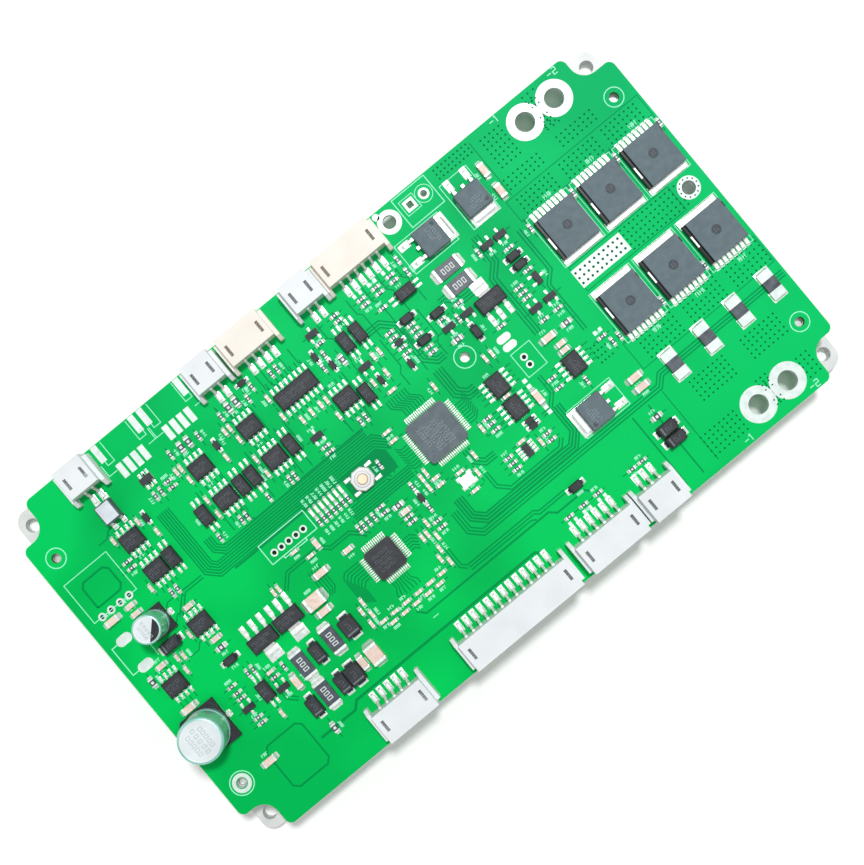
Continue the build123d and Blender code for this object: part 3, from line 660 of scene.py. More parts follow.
def make_can(size):
    name = f"electrolytic_{size}"
    can, base = solids(name + "_can")[0], solids(name + "_base")[0]
    radius = can.size[0] / 2
    rim = make_can_skin(name, can, radius, can.high[2] - can.low[2])
    top_print = Pile()
    top_print.place(can.x, can.y, turn=-90, z=can.high[2] - CAN_RECESS)
    rows = [(0.32, 0.8), (0, 1), (-0.32, 0.8)]
    if size == "small":
        rows = rows[1:]
        turns = [math.radians(turn) for turn in PATCH_TURNS]
        top_print.loft([[(rim * 0.96 * math.cos(t), rim * 0.96 * math.sin(t), z) for t in turns]
                        for z in (0, MARK_RISE)])
    for row, width in rows:
        for place in spread(5, 1):
            u = place * radius * width * 0.26
            low, high = (row - 0.09) * radius, (row + 0.09) * radius
            top_print.frame(u - radius * 0.06, low, u + radius * 0.06, high, 0.09, 0, MARK_RISE, 1)
    top_print.make(name + "_print", ["black", "can_print"])
    solder = Pile()
    solder.place(base.x, base.y)
    edge = base.size[0] / 2
    for way in WAYS:
        solder.fillet(way * (edge - 0.35), 0, (way, 0), 1.7, 0.8, 0.35)
        solder.disc(way * (edge - 0.1), 0, 0.6, 0, 0.3, 16, 0, 0.25)
    solder.make(name + "_solder", ["solder"], smooth=True)


for size in ("large", "small"):
    make_can(size)


# Print on the board. Copper, solder and print lie in thin layers, given by their lower and upper heights.
GROUND_LAYER = (0, 0.008)
RUN_OUT_LAYER = (0, 0.004)
TRACK_LAYER = (0, 0.012)
COPPER_LAYER = (0, 0.021)
SILK_LAYER = (0, 0.03)
PAD_LAYER = (0, 0.045)
PAD_TOP = PAD_LAYER[1]
MOSFET_COLUMNS = (134.5, 146.4, 158.3)
MOSFET_ROWS = ((40.2, 0), (61.3, 180))
RINGED_HOLES = ((4.65, 76.4, 2.2), (100, 53.7, 2.4), (160.35, 13.65, 2.15), (160.35, 76.35, 2.15),
                (4.65, 13.65, 2.65))
DIGITS = {1: [(-0.2, 0.4), (0.15, 0.75), (0.15, -0.75)],
          2: [(-0.2, 0.75), (0.7, 0.75), (0.7, 0), (-0.2, 0), (-0.2, -0.75), (0.7, -0.75)]}


def make_silk():
    silk = Pile()

    def stroke(*path, width=0.16):
        silk.line(path, width, *SILK_LAYER)

    def outline(x0, y0, x1, y1, width=0.16):
        silk.frame(x0, y0, x1, y1, width, *SILK_LAYER)

    def name_mark(x, y, length, width=0.75, turn=0):
        """A place where the board names a part, drawn as a few plain strokes."""
        silk.place(x, y, turn)
        count = max(2, round(length / 0.62))
        step = length / count
        for index in range(count):
            u = -length / 2 + index * step
            kind = rng.randrange(4)
            stroke((u, -width / 2), (u, width / 2))
            if kind != 0:
                stroke((u, width / 2 - 0.07), (u + step * 0.62, width / 2 - 0.07), width=0.14)
            if kind != 1:
                stroke((u, 0), (u + step * 0.62, 0), width=0.14)
            if kind > 1:
                stroke((u + step * 0.6, -width / 2), (u + step * 0.6, width / 2), width=0.14)
        silk.place()

    def mark_connectors():
        """Outlines round the bare pads along the rear edge."""
        for middle in (31.3, 44.15):
            for way in WAYS:
                stroke((middle + way * 6.6, 85.4), (middle + way * 6.6, 82.6), (middle + way * 4.4, 82.6))
            for way in WAYS:
                u = middle + way * 4.4
                stroke((u - 0.9, 89.7), (u - 0.9, 84.6), (u + 0.9, 84.6), (u + 0.9, 89.7))

    def mark_power_holes():
        """A stroke and a digit beside each of the four power holes."""
        for x, y, digit in ((154.6, 1.2, 2), (136.4, 1.2, 1), (137.7, 89, 1), (153.8, 89, 2)):
            silk.place(x, y)
            stroke((-1.6, 0), (-0.6, 0), width=0.2)
            stroke(*DIGITS[digit], width=0.2)
        silk.place()

    def mark_chips():
        for name in ("chips_8_pin", "chip_16_pin"):
            for solid in solids(name):
                turned = solid.size[0] > solid.size[1]
                silk.place(solid.x, solid.y, 90 if turned else 0)
                stroke((-2.45, 2.4), (2.45, 2.4), width=0.12)
                stroke((-2.45, -2.4), (2.45, -2.4), width=0.12)
                name_mark(solid.x - 0.5, solid.y + (3.1 if turned else 4.3), 1.5)

    def mark_small_parts():
        for name, chance in (("chip_resistors", 0.75), ("chip_capacitors", 0.65), ("small_transistors", 1),
                             ("diodes_small", 0.8), ("optocouplers", 1), ("ceramic_capacitors_large", 1)):
            for solid in solids(name):
                if rng.random() > chance:
                    continue
                length, width, height, turn = ends_of(solid)
                away = rng.choice(WAYS) * (width / 2 + 0.85)
                if turn:
                    name_mark(solid.x + away, solid.y, 1.7, 0.7, 90)
                else:
                    name_mark(solid.x, solid.y + away, 1.7, 0.7)

    for x, y, radius in RINGED_HOLES:
        silk.ring(x, y, radius + 0.1, radius - 0.1, SILK_LAYER[1], 48)
    outline(2.1, 60.3, 13.8, 70.7)
    for path in ([(1.4, 51.7), (1.4, 48.3)], [(8.5, 53.6), (8.5, 46.4)],
                 [(2.9, 53.6), (1.4, 53.6), (1.4, 46.4), (2.9, 46.4)],
                 [(39.7, 45.6), (52, 45.6), (52, 50.6), (39.7, 50.6), (39.7, 45.6)],
                 [(42.7, 45.6), (42.7, 45), (48.8, 45), (48.8, 45.6)]):
        stroke(*path, width=0.2)
    for box in ((107.8, 41.5, 112.9, 47.7), (109.2, 23.3, 121, 30.6), (103.3, 74.1, 115.2, 81.6),
                (119, 73.5, 126.4, 85.4), (109.1, 82.3, 118, 89.6, 0.2), (110, 84.7, 113.6, 88.3, 0.14)):
        outline(*box)
    silk.ring(115.6, 86.5, 2.05, 1.9, SILK_LAYER[1], 36)
    for column in MOSFET_COLUMNS:
        for row, turn in MOSFET_ROWS:
            outline(column - 5.55, row - 6.6, column + 5.5, row + 6.7, 0.14)
            name_mark(column + 1.5, row + (8 if turn else -8), 2.2, 1)
    mark_connectors()
    stroke((59, 14.8), (60.5, 14.8))
    mark_power_holes()
    mark_chips()
    mark_small_parts()
    for index in range(7):
        name_mark(53.3 + 1.33 * index, 51.6, 1.9, 0.75, 90)
        if index < 6:
            name_mark(53.3 + 1.33 * index, 43.8, 1.6, 0.7, 90)
    silk.make("board_print", ["silk"])


make_silk()


# Bare tinned pads and rings
POWER_HOLE_ROWS = (5.6, 84.4)


def make_pads():
    pads = Pile()

    def pad(x, y, length, width):
        pads.place(x, y)
        pads.block(-length / 2, -width / 2, 0, length / 2, width / 2, PAD_TOP)

    def oval(x, y, length, width, count=24):
        pads.place(x, y)
        turns = [2 * math.pi * (step + 0.5) / count for step in range(count)]
        half = (length - width) / 2
        pads.loft([[(math.copysign(half, math.cos(t)) + width / 2 * math.cos(t), width / 2 * math.sin(t), z)
                    for t in turns] for z in (0, PAD_TOP)])

    for columns, y, length, width in (((27.8, 29.8, 31.8, 33.8, 40.6, 42.6, 44.6, 46.6), 81.85, 1.4, 3.5),
                                      ((25.9, 36.2, 38.6, 48.8), 87.8, 1.5, 4.2)):
        for x in columns:
            pad(x, y, length, width)
    for x, y, length, width in ((4.8, 53.6, 3.8, 2.3), (4.9, 46.4, 3.8, 2.3), (109, 51.5, 3.4, 1.7),
                                (109, 49.4, 3.4, 1.7)):
        oval(x, y, length, width)
    for columns, y in (((94.6, 96.2, 98.6, 100.2, 102.7, 104.3), 11.6),
                       ((89.9, 91.5, 93.9, 95.5, 97.9, 99.5), 78.8), ((124.8, 126.2), 39.8)):
        for x in columns:
            pad(x, y, 0.75, 0.9)
    for y in (41.5, 40, 34.3, 33):
        pad(106.6, y, 1, 0.9)
    pads.place()
    for x, y, outer, inner in ((4.65, 13.65, 2.15, 1.3), (160.35, 51.1, 2.6, 1.56), (106, 86.4, 2.7, 1.51)):
        pads.ring(x, y, outer, inner, PAD_TOP, 48)
    pads.disc(104.3, 89, 0.8, 0, PAD_TOP)
    for y in POWER_HOLE_ROWS:
        for x in (142.2, 150.3):
            pads.ring(x, y, 4.1, 2.21, PAD_TOP, 64)
    for places, outer in (([(x, 47.4) for x in (41.6, 43.6, 45.6, 47.6, 49.6)], 0.85),
                          ([(x, 60.3) for x in (4.3, 6.75, 9.25, 11.7)], 0.9),
                          ([(109.8, 45.6), (109.8, 43.6)], 0.85)):
        for x, y in places:
            pads.ring(x, y, outer, 0.5, PAD_TOP, 24)
    pads.ring(115.6, 86.5, 1.25, 0.75, PAD_TOP, 32)
    pads.frame(110.8, 85.5, 112.8, 87.5, 0.6, *PAD_LAYER)
    pads.make("board_pads", ["pad"])


make_pads()


# Small plated holes, in fields of straight rows: the spans of the fields, the rows, and the pitch along them.
# Each hole is a flat dark disc whose colour is painted shade of the hole
VIA_RADIUS = 0.22
VIA_HEIGHT = 0.02
VIA_SIDES = 10
VIA_FIELDS = (
    (((131, 140), (143, 152), (155, 164)), (28.1, 29.4, 30.6, 31.9, 33.1), 1.25),
    (((133.8, 142.7), (148, 157)), (13.8, 15, 16.3, 17.5, 18.7), 1.25),
    (((128, 137),), (3, 4.3, 5.6, 6.8, 8), 1.25),
    (((154.6, 157.3),), (3, 4.3, 5.6, 6.8, 8), 1.35),
    (((120.3, 129.2),), (86.7, 87.8, 88.9), 1.1),
    (((132.2, 137.2),), (80, 81.2, 82.5, 83.7, 85, 86.2, 87.4), 1.25),
    (((145, 148),), (80, 81.2, 87.6, 88.8), 1.25),
    (((130.6, 139.7), (145.3, 154.4)), (75.2, 76.4, 77.6), 1.25),
    (((130.2, 139), (142, 151.2), (153.7, 162.5)), (69, 70.2, 71.4, 72.6), 1.25),
    (((143, 158),), (48.4, 49.6, 50.9, 52.1, 53.4), 1.25),
    (((122, 125),), (34, 35.3, 36.6, 37.9), 1),
    (((144.9, 147.4),), [3.5 + 1.05 * k for k in range(7)], 1.25),
    (((144.9, 147.4),), [80.6 + 1.05 * k for k in range(7)], 1.25),
)


def make_vias():
    vias = Pile()
    for spans, rows, pitch in VIA_FIELDS:
        for start, end in spans:
            count = round((end - start) / pitch)
            for y in rows:
                for index in range(count + 1):
                    x = start + (end - start) * index / count
                    vias.disc(x, y, VIA_RADIUS, 0, VIA_HEIGHT, VIA_SIDES)
    through_pad = PAD_TOP + 0.01
    for y in POWER_HOLE_ROWS:
        for u in (-0.9, 0, 0.9):
            for v in (-2.6, -1.4, 1.4, 2.6):
                vias.disc(146.25 + u, y + v, 0.2, 0, through_pad, VIA_SIDES)
    for index in range(12):
        turn = 2 * math.pi * index / 12
        vias.disc(160.35 + 2.1 * math.cos(turn), 51.1 + 2.1 * math.sin(turn), 0.2, 0, through_pad, VIA_SIDES)
    vias.make("board_vias", ["painted_hole_shade"])


make_vias()


# Solder under the leads. A joint is a low pad and a fillet: half width, inner and outer end, height and edge
# of the pad, then place, width, reach and climb of the fillet at the lead's tip.
THREE_PIN_LEAD = ((0.32, 0.95, 1.75, 0.07, 0.03), (1.25, 0.4, 0.38, 0.22))
REGULATOR_LEAD = ((0.6, 2.6, 5.1, 0.07, 0.04), (3.5, 0.9, 0.9, 0.26))
REGULATOR_TAB = ((1.75, 2.5, 5.3, 0.07, 0.04), (3.5, 3, 0.9, 0.26))
TAB_LEAD = ((0.8, 4.1, 6.9, 0.07, 0.04), (5.65, 0.9, 0.9, 0.3))
TAB_PLATE = ((3.3, -1.6, 5.3, 0.07, 0.04), (4.25, 5.2, 0.8, 0.4))
SHUNT_END = ((1.85, 1.3, 3.85, 0.08, 0.05), (3.3, 3.1, 0.5, 0.5))
CONTACT_FOOT = ((0.67, -1.9, 0.65, 0.07, 0.04), (0, 0.62, 0.5, 0.4))
TAB_PLACES = ((110.6, 78, 270), (122.9, 78.7, 180), (114.1, 26.9, 90))
TAB_LEADS = (-2.285, 2.285)


class Solder(Pile):
    """A pile of joints."""

    def joint(self, side, offset, pad, tip):
        half, inner, outer, height, edge = pad
        place, width, reach, climb = tip
        self.block(offset - half, side * inner, 0, offset + half, side * outer, height, edge)
        self.fillet(offset, side * place, (0, side), width, reach, climb)

    def two_rows(self, solid, along, half_span, offsets, width, reach=0.55):
        """The feet of a package with the same row of leads on two sides."""
        pad = (width / 2 + 0.1, half_span - reach - 0.25, half_span + 0.55, 0.06, 0.03)
        self.place(solid.x, solid.y, 90 if is_turned(solid, along) else 0)
        for side in (1, -1):
            for offset in offsets:
                self.joint(side, offset, pad, (half_span, width * 0.95, 0.42, 0.24))

    def four_rows(self, solid, half_span, count):
        for turn in (0, 90, 180, 270):
            self.place(solid.x, solid.y, turn)
            for offset in spread(count, 0.5):
                self.joint(1, offset, (0.15, half_span - 0.75, half_span + 0.45, 0.07, 0.03),
                           (half_span, 0.24, 0.3, 0.2))

    def three_pins(self, solid):
        """Three leads, of which the single one may be on either side."""
        turned = is_turned(solid, 2.9)
        self.place(solid.x, solid.y, 90 if turned else 0)
        for offset, side in ((-0.95, 1), (0.95, 1), (0, -1), (-0.95, -1), (0.95, -1), (0, 1)):
            if has_lead(solid, offset, side, turned):
                self.joint(side, offset, *THREE_PIN_LEAD)

    def diode_ends(self, solid):
        length, width, height, turn = ends_of(solid)
        self.place(solid.x, solid.y, turn)
        wide = width * 0.62
        for way in WAYS:
            self.block(way * (length / 2 - 0.35), -wide / 2 - 0.1, 0, way * (length / 2 + 0.55),
                       wide / 2 + 0.1, 0.06, 0.03)
            self.fillet(way * length / 2, 0, (way, 0), wide * 0.85, 0.45, 0.24)

    def shunt_ends(self, solid):
        self.place(solid.x, solid.y)
        for way in WAYS:
            self.joint(way, 0, *SHUNT_END)
            for side in WAYS:
                self.fillet(side * 1.6, way * 2.3, (side, 0), 1.8, 0.25, 0.45)

    def corners(self, solid, reach_x, reach_y, half_x, half_y, height, edge):
        """Four blocks at the corners of a part."""
        self.place(solid.x, solid.y)
        for u in (-reach_x, reach_x):
            for v in (-reach_y, reach_y):
                self.block(u - half_x, v - half_y, 0, u + half_x, v + half_y, height, edge)

    def contact(self, solid):
        """The foot of a connector's contact; the tail comes down on the board's side of it."""
        side = -1 if solid.y < WIDTH / 2 else 1
        self.place(solid.x, solid.high[1] if side < 0 else solid.low[1])
        self.joint(-side, 0, *CONTACT_FOOT)
        for edge in WAYS:
            self.fillet(edge * 0.3, side * 0.75, (edge, 0), 1.3, 0.18, 0.3)


def has_lead(solid, offset, side, turned):
    """Looks for a face of the CAD package near the end of that lead."""
    mesh = nodes["small_transistors"].data
    for index in solid.faces:
        x, y, z = board_mm(mesh.polygons[index].center)
        u, v = x - solid.x, y - solid.y
        if turned:
            u, v = v, -u
        if abs(u - offset) < 0.15 and 1 < side * v:
            return True
    return False


def make_lead_solder():
    solder = Solder()
    for name, along, half_span, offsets, width in (("chips_8_pin", 4.9, 3, spread(4, 1.27), 0.42),
                                                   ("chip_16_pin", 9.9, 3, spread(8, 1.27), 0.42),
                                                   ("optocouplers", 2.6, 3.5, spread(2, 1.27), 0.4),
                                                   ("coupler_large", 3.8, 3.3, spread(2, 2.54), 0.9)):
        for solid in solids(name):
            solder.two_rows(solid, along, half_span, offsets, width)
    for solid in solids("chips_small"):
        if is_turned(solid, 2.9) and solid.size[0] > 3.1:
            solder.two_rows(solid, 2.9, 1.6, spread(4, 0.8), 0.36, 0.35)
        else:
            solder.two_rows(solid, 3, 1.45, spread(3, 0.95), 0.4, 0.3)
    solder.four_rows(solids("microcontroller")[0], 6, 16)
    solder.four_rows(solids("cell_monitor")[0], 4.5, 12)
    for solid in solids("small_transistors"):
        solder.three_pins(solid)
    for name, turn in zip(REGULATORS, (0, 0, 180)):
        solid = solids(name)[0]
        solder.place(solid.x, solid.y, turn)
        for offset in spread(3, 2.3):
            solder.joint(1, offset, *REGULATOR_LEAD)
        solder.joint(-1, 0, *REGULATOR_TAB)
    for place in TAB_PLACES:
        solder.place(*place)
        for offset in TAB_LEADS:
            solder.joint(-1, offset, *TAB_LEAD)
        solder.joint(1, 0, *TAB_PLATE)
    for name in ("diodes_large", "diodes_small"):
        for solid in solids(name):
            solder.diode_ends(solid)
    for solid in solids("current_shunts"):
        solder.shunt_ends(solid)
    solder.corners(solids("crystal")[0], 1.38, 1.0925, 0.6, 0.5, 0.12, 0.08)
    solder.corners(solids("switch_housing")[0], 3.1, 1.85, 0.55, 0.42, 0.1, 0.06)
    for name in HOUSINGS:
        for solid in solids(name.replace("housing", "contacts")):
            solder.contact(solid)
    solder.make("lead_solder", ["solder"], smooth=True)


make_lead_solder()


# Marks on the packages: rows of short strokes that stand for print
MARK_STROKE = 0.07
MARK_HEIGHT = 0.012
CONTROLLER_ROWS = ((2.9, -1.4, 3.4), (1.6, -3.4, 3.2), (0.4, -3.4, 2.6), (-0.8, -3.4, 3), (-2, -3.4, 1.6))
MONITOR_ROWS = ((1.6, -2.2, 2), (0.5, -2.2, 2.4), (-0.6, -2.2, 1.6), (-1.7, -2.2, 2))


def make_marks():
    marks = Pile()

    def row(u0, u1, v, height, tone=0):
        """One line of generic marks: short strokes of equal height."""
        count = max(2, round((u1 - u0) / (height * 0.85)))
        step = (u1 - u0) / count
        for index in range(count):
            u = u0 + index * step
            kind = (index * 7 + round(v * 3)) % 3
            low, high = v - height / 2, v + height / 2
            paths = [[(u, low), (u, high)]]
            if kind != 1:
                paths.append([(u, high), (u + step * 0.6, high)])
            if kind != 2:
                paths.append([(u, low), (u + step * 0.6, low)])
            for path in paths:
                marks.line(path, MARK_STROKE, 0, MARK_HEIGHT, tone)

    def on_top(solid, turn=0):
        marks.place(solid.x, solid.y, turn, solid.high[2])

    for name, along in (("chips_8_pin", 4.9), ("chip_16_pin", 9.9)):
        for solid in solids(name):
            on_top(solid, 90 if is_turned(solid, along) else 0)
            half = along / 2 - 0.7
            row(-half, half, 0.45, 0.6)
            row(-half, half * 0.5, -0.55, 0.6)
    for solid in solids("optocouplers"):
        on_top(solid, 90 if is_turned(solid, 2.6) else 0)
        row(-0.85, 0.75, 0.5, 0.5)
        row(-0.85, 0.6, -0.5, 0.5)
    on_top(solids("microcontroller")[0], 90)
    marks.ring(-3.6, 3.7, 0.65, 0.5, MARK_HEIGHT, 24)
    for v, u0, u1 in CONTROLLER_ROWS:
        row(u0, u1, v, 0.8, 1)
    on_top(solids("cell_monitor")[0])
    for v, u0, u1 in MONITOR_ROWS:
        row(u0, u1, v, 0.6)
    for number, (x, y, turn) in enumerate(TAB_PLACES, 1):
        marks.place(x, y, turn, solids(f"tab_transistor_{number}")[0].high[2])
        row(-2, 2, 1.4, 0.7, 1)
        row(-2, 1.2, 0.2, 0.7, 1)
    for name in REGULATORS:
        on_top(solids(name)[0])
        row(-2.3, 2.3, 0.5, 0.6)
        row(-2.3, 1, -0.5, 0.6)
    for solid in solids("diodes_large"):
        length, width, height, turn = ends_of(solid)
        on_top(solid, turn)
        marks.block(-1.6, -width / 2 + 0.35, 0, -1.25, width / 2 - 0.35, MARK_HEIGHT)
        row(-0.6, 1.4, 0, 0.7)
    for solid in solids("current_shunts"):
        on_top(solid)
        for index in range(4):
            u = -1.1 + index * 0.6
            marks.frame(u, -0.38, u + 0.36, 0.38, 0.09, 0, 0.015)
    marks.make("package_marks", ["epoxy_print", "pale_print"])


make_marks()


# Tracks under the mask: the gaps beside them show as darker lines
NARROW = 0.28
BUNDLE_WIDTH = 0.32
BUS_WIDTH = 0.24
BUS_MARGIN = 0.3
FAN_STEP = 0.72


def make_tracks():
    tracks = Pile()

    def line(*path, width=NARROW):
        tracks.line(path, width, *TRACK_LAYER)

    def bundle(count, pitch, *path):
        for index in range(count):
            line(*beside(path, index * pitch), width=BUNDLE_WIDTH)

    def bus(count, pitch, *path):
        """Bare ground that shows dark, with light copper lines on it."""
        line(*beside(path, (count - 1) / 2 * pitch), width=count * pitch + BUS_MARGIN)
        for index in range(count):
            tracks.line(beside(path, index * pitch), BUS_WIDTH, *COPPER_LAYER, 1)

    # Thick outline by the front left corner, and the long bands along the front
    line((12.8, 15.2), (13.9, 16.3), (21.6, 16.3), (22.7, 15.2), (22.7, 6.2), (21.6, 5.1), (13.9, 5.1),
         (12.8, 6.2), (12.8, 15.2), width=0.4)
    line((24, 10.2), (33.5, 10.2), (35, 11.7), (84.8, 11.7), (85.6, 10.9), width=0.6)
    line((57, 18.2), (58.6, 16.5), (92.6, 16.5), (94, 15.2), (101.6, 15.2), (102.4, 14.4), width=0.45)
    bundle(1, 0.7, (72, 17.5), (88.6, 17.5), (89.6, 16.9))
    bundle(2, 0.7, (72, 18.2), (90, 18.2), (90.9, 17.4), (98.2, 17.4))
    bundle(2, -0.7, (71, 24.6), (71, 19.8), (72, 18.8))
    # Loops under the microcontroller, one inside the other
    bundle(3, 0.7, (76.2, 29.5), (76.2, 24.1), (78.9, 21.4), (128.4, 21.4), (130.4, 23.4), (164.4, 23.4))
    bus(3, 0.7, (78.7, 31.2), (78.7, 26), (81.4, 23.3), (106, 23.3), (109, 26.3), (109, 33.2))
    bundle(2, 0.7, (87.2, 31.6), (87.2, 27.8), (89.7, 25.3), (103.6, 25.3), (105.2, 26.9))
    # The bus that runs above the middle, with its bends at both ends, and the ground round the push switch
    line((33, 50.2), (74, 50.2), (75.4, 48.8), width=0.55)
    bus(5, 0.6, (27.4, 69.5), (27.4, 53.4), (29.8, 51), (72.6, 51), (74.4, 49.2))
    bus(3, 0.6, (31.8, 59), (31.8, 56), (33.8, 54), (73, 54))
    bus(4, 0.6, (59.6, 41.4), (75.6, 41.4))
    tracks.line([(62.4, 47.6), (74, 47.6)], 6, *GROUND_LAYER)
    bundle(2, 0.7, (17.6, 49.2), (21.4, 53), (26.4, 53))
    line((41, 57.8), (43.2, 55.6), (52.4, 55.6), (54, 55.9), (73.2, 55.9), width=0.4)
    bundle(2, 0.7, (38.6, 39.2), (41.2, 41.9), (49.6, 41.9), (51.4, 40.1), (56.6, 40.1), (59.4, 37.4))
    bundle(2, -0.8, (60.4, 45), (70.6, 45), (71.6, 44))
    bundle(4, 0.7, (72.4, 44.2), (74, 45.8), (74, 49))
    # Fans beside the cell monitor
    for step in [FAN_STEP * index for index in range(7)]:
        line((54.2, 34.4 - step), (50.4 + step * 0.55, 34.4 - step), (49.4 + step * 0.55, 33.4 - step),
             (49.4 + step * 0.55, 26.8 - step * 0.35))
        line((57 + step * 0.9, 26.2), (57 + step * 0.9, 24.8), (56.2 + step * 1.3, 23.6),
             (56.2 + step * 1.3, 22.4))
    for step in [FAN_STEP * index for index in range(5)]:
        line((64.6, 29 + step), (65.6 + step * 0.3, 29 + step), (66.6 + step * 0.3, 28 + step))
        line((47.2 - step, 39.4), (47.2 - step, 33.6), (46 - step, 32.4))
    # Fans beside the microcontroller
    for step in [FAN_STEP * index for index in range(8)]:
        line((78.4, 42 + step), (76.6, 42 + step), (75.6, 43 + step))
        line((82.4 + step, 51.8), (82.4 + step, 53.4), (80.6 + step, 55.2), (80.6 + step, 57))
        line((91.8, 42 + step), (93.6, 42 + step), (95, 43.4 + step))
    bundle(3, 0.7, (86.6, 38.2), (86.6, 35), (88.8, 32.8), (91.8, 32.8))
    # Runs between the rear connectors and the rows of chips
    for x in (51.6, 53.2, 56.6, 62.6, 64.2, 69, 71.6, 79.8, 84, 88, 92.4, 96.4, 100.6):
        line((x, 79.4), (x, 75.6), (x + 0.9, 74.7), (x + 0.9, 68.4))
    for x in (36.8, 39.2, 43.6, 50.4, 58.4, 61, 72.4, 77.4, 80.4, 88.2, 93.2, 98.6):
        line((x, 68.2), (x, 61), (x - 1.1, 59.9), (x - 1.1, 56.6))
    bundle(3, 0.7, (86.8, 70.2), (90, 70.2), (92.2, 68), (92.2, 58.8), (94.8, 56.2), (97, 56.2))
    bundle(3, -0.7, (103.2, 66.8), (105, 66.8), (107.6, 64.2), (113, 64.2))
    bundle(4, 0.72, (92.6, 55.4), (92.6, 48.6), (95.2, 46), (97.6, 46))
    bundle(2, 0.7, (104.9, 33), (107.2, 33), (110, 35.8), (110, 40.4))
    for x in (119.4, 123.8):
        line((x, 1.8), (x, 20.6), width=0.36)
    bundle(3, 0.75, (116.2, 47.6), (116.2, 62.5), (118.8, 65.1), (118.8, 72.4))
    bundle(2, 0.75, (124.2, 41.8), (124.2, 54), (126.6, 56.4), (126.6, 67.4))
    # Short runs beside the large capacitors
    for y in (41.6, 49.2, 52.6, 64.4, 72.6):
        line((13.4, y), (15.8, y), (17, y + 1.2), (22.4, y + 1.2))
    line((4.8, 62.4), (4.8, 67.6), (5.8, 68.6), (11, 68.6), (12, 67.6), (12, 63.4), (11, 62.4),
         (4.8, 62.4), width=0.45)
    bundle(2, 0.75, (23.6, 29.6), (23.6, 21.4), (25.4, 19.6))
    tracks.make("board_tracks", ["track", "mask"])


def make_track_ends():
    """Short runs that leave the chips' leads and the ends of the small parts."""
    ends = Pile()

    def run_out(u, start, finish):
        ends.line([(u, start), (u, finish)], 0.26, *RUN_OUT_LAYER)

    for name, along, count in (("chips_8_pin", 4.9, 4), ("chip_16_pin", 9.9, 8)):
        for solid in solids(name):
            ends.place(solid.x, solid.y, 90 if is_turned(solid, along) else 0)
            for u in spread(count, 1.27):
                for side in WAYS:
                    run_out(u, side * 3.5, side * rng.uniform(4.4, 5.4))
    for name in ("chip_resistors", "chip_capacitors", "small_transistors"):
        for solid in solids(name):
            length, width, height, turn = ends_of(solid)
            ends.place(solid.x, solid.y, turn + 90)
            for side in WAYS:
                start = side * (length / 2 + 0.3)
                run_out(0, start, start + side * rng.uniform(0.7, 1.5))
    ends.make("track_ends", ["track"])


def make_pours():
    """The gap round the wide copper of the power side, and its bare patch with a field of holes."""
    pours = Pile()
    for x0, y0, x1, y1 in ((127.6, 27.2, 165, 34.2), (127.6, 68.2, 165, 73.6), (129, 47.8, 157.5, 54.2)):
        pours.frame(x0 + 0.4, y0, x1 - 0.6, y1, 0.2, *TRACK_LAYER)
    for path in ([(128, 21), (128, 2)], [(130, 74), (130, 88.6)]):
        pours.line(path, 0.22, *TRACK_LAYER)
    pours.make("copper_edges", ["track"])
    patch = Pile()
    patch.block(129.2, 48.8, 0, 142.5, 53.3, PAD_TOP)
    patch.make("tinned_patch", ["pad"])
    # The holes are flat discs whose dark colour is painted shade of the holes
    holes = Pile()
    for x in [129.8 + 1.3 * k for k in range(10)]:
        for y in (49.7, 51.05, 52.4):
            holes.disc(x, y, 0.3, 0, PAD_TOP + 0.01, 12)
    holes.make("patch_vias", ["painted_hole_shade"])


make_tracks()
make_track_ends()
make_pours()


# Power transistors: a moulded body with a ledge on its left, a dimple, tie bars, a tab and eight leads. The
# ledge, a thin sheet on the body's left side, the block behind the left tie bar and the notch by the tab are
# near black: painted shade on the one moulding.
# Way is the side of the tab, 1 to the rear and -1 to the front.
MOSFET_LEADS = [-4.2 + 1.2 * k for k in range(8)]
MOSFET_BAR = 1
MOSFET_KEYS = ["epoxy_top", "painted_side_shade", "epoxy_dimple", "lead"]
TOP_TONE, SIDE_SHADE_TONE, DIMPLE_TONE, LEAD_TONE = range(4)


def make_power_transistor(node, x, y, way):
    height = solids(node)[0].size[2]
    low, high = sorted((-5 * way, 5.25 * way))
    bar = MOSFET_BAR * way
    nick = high - 1.6
    body = Pile()
    body.place(x, y)
    # The near-black pieces below are painted shade on the moulding's left side and in its notch
    body.block(-5, low, 0.1, -3.95, high, 1.35, 0.12, SIDE_SHADE_TONE)
    body.block(-4.25, low, 0.1, 5, high, height, 0.16, TOP_TONE)
    body.block(-4.27, low + 0.04, 0.2, -4.1, high - 0.04, height - 0.16, 0, SIDE_SHADE_TONE)
    body.disc(0.3, 0.25, 1.1, height - 0.02, height + 0.006, 32, DIMPLE_TONE)
    body.block(-5.02, bar - 1.75, 0.5, -4.2, bar + 1.75, 1.38, 0, SIDE_SHADE_TONE)
    body.block(-4.95, bar - 1.45, 0.5, -4.5, bar + 1.45, 1.5, 0.06, LEAD_TONE)
    body.block(4.75, nick - 0.75, 0.5, 5.03, nick + 0.55, height + 0.004, 0, SIDE_SHADE_TONE)
    body.block(4.85, bar - 1.4, 0.5, 5.06, bar + 1.4, 1.3, 0.04, LEAD_TONE)
    body.block(-4.8, 5 * way, 0, 4.8, 6.5 * way, 0.5, 0.06, LEAD_TONE)
    for u in MOSFET_LEADS:
        body.block(u - 0.42, -6.55 * way, 0, u + 0.42, -5.9 * way, 0.4, 0.05, LEAD_TONE)
        body.block(u - 0.42, -5.9 * way, 0.05, u + 0.42, -4.95 * way, 0.55, 0.05, LEAD_TONE)
    body.make(node + "_dressed", MOSFET_KEYS, "black_moulding", node)


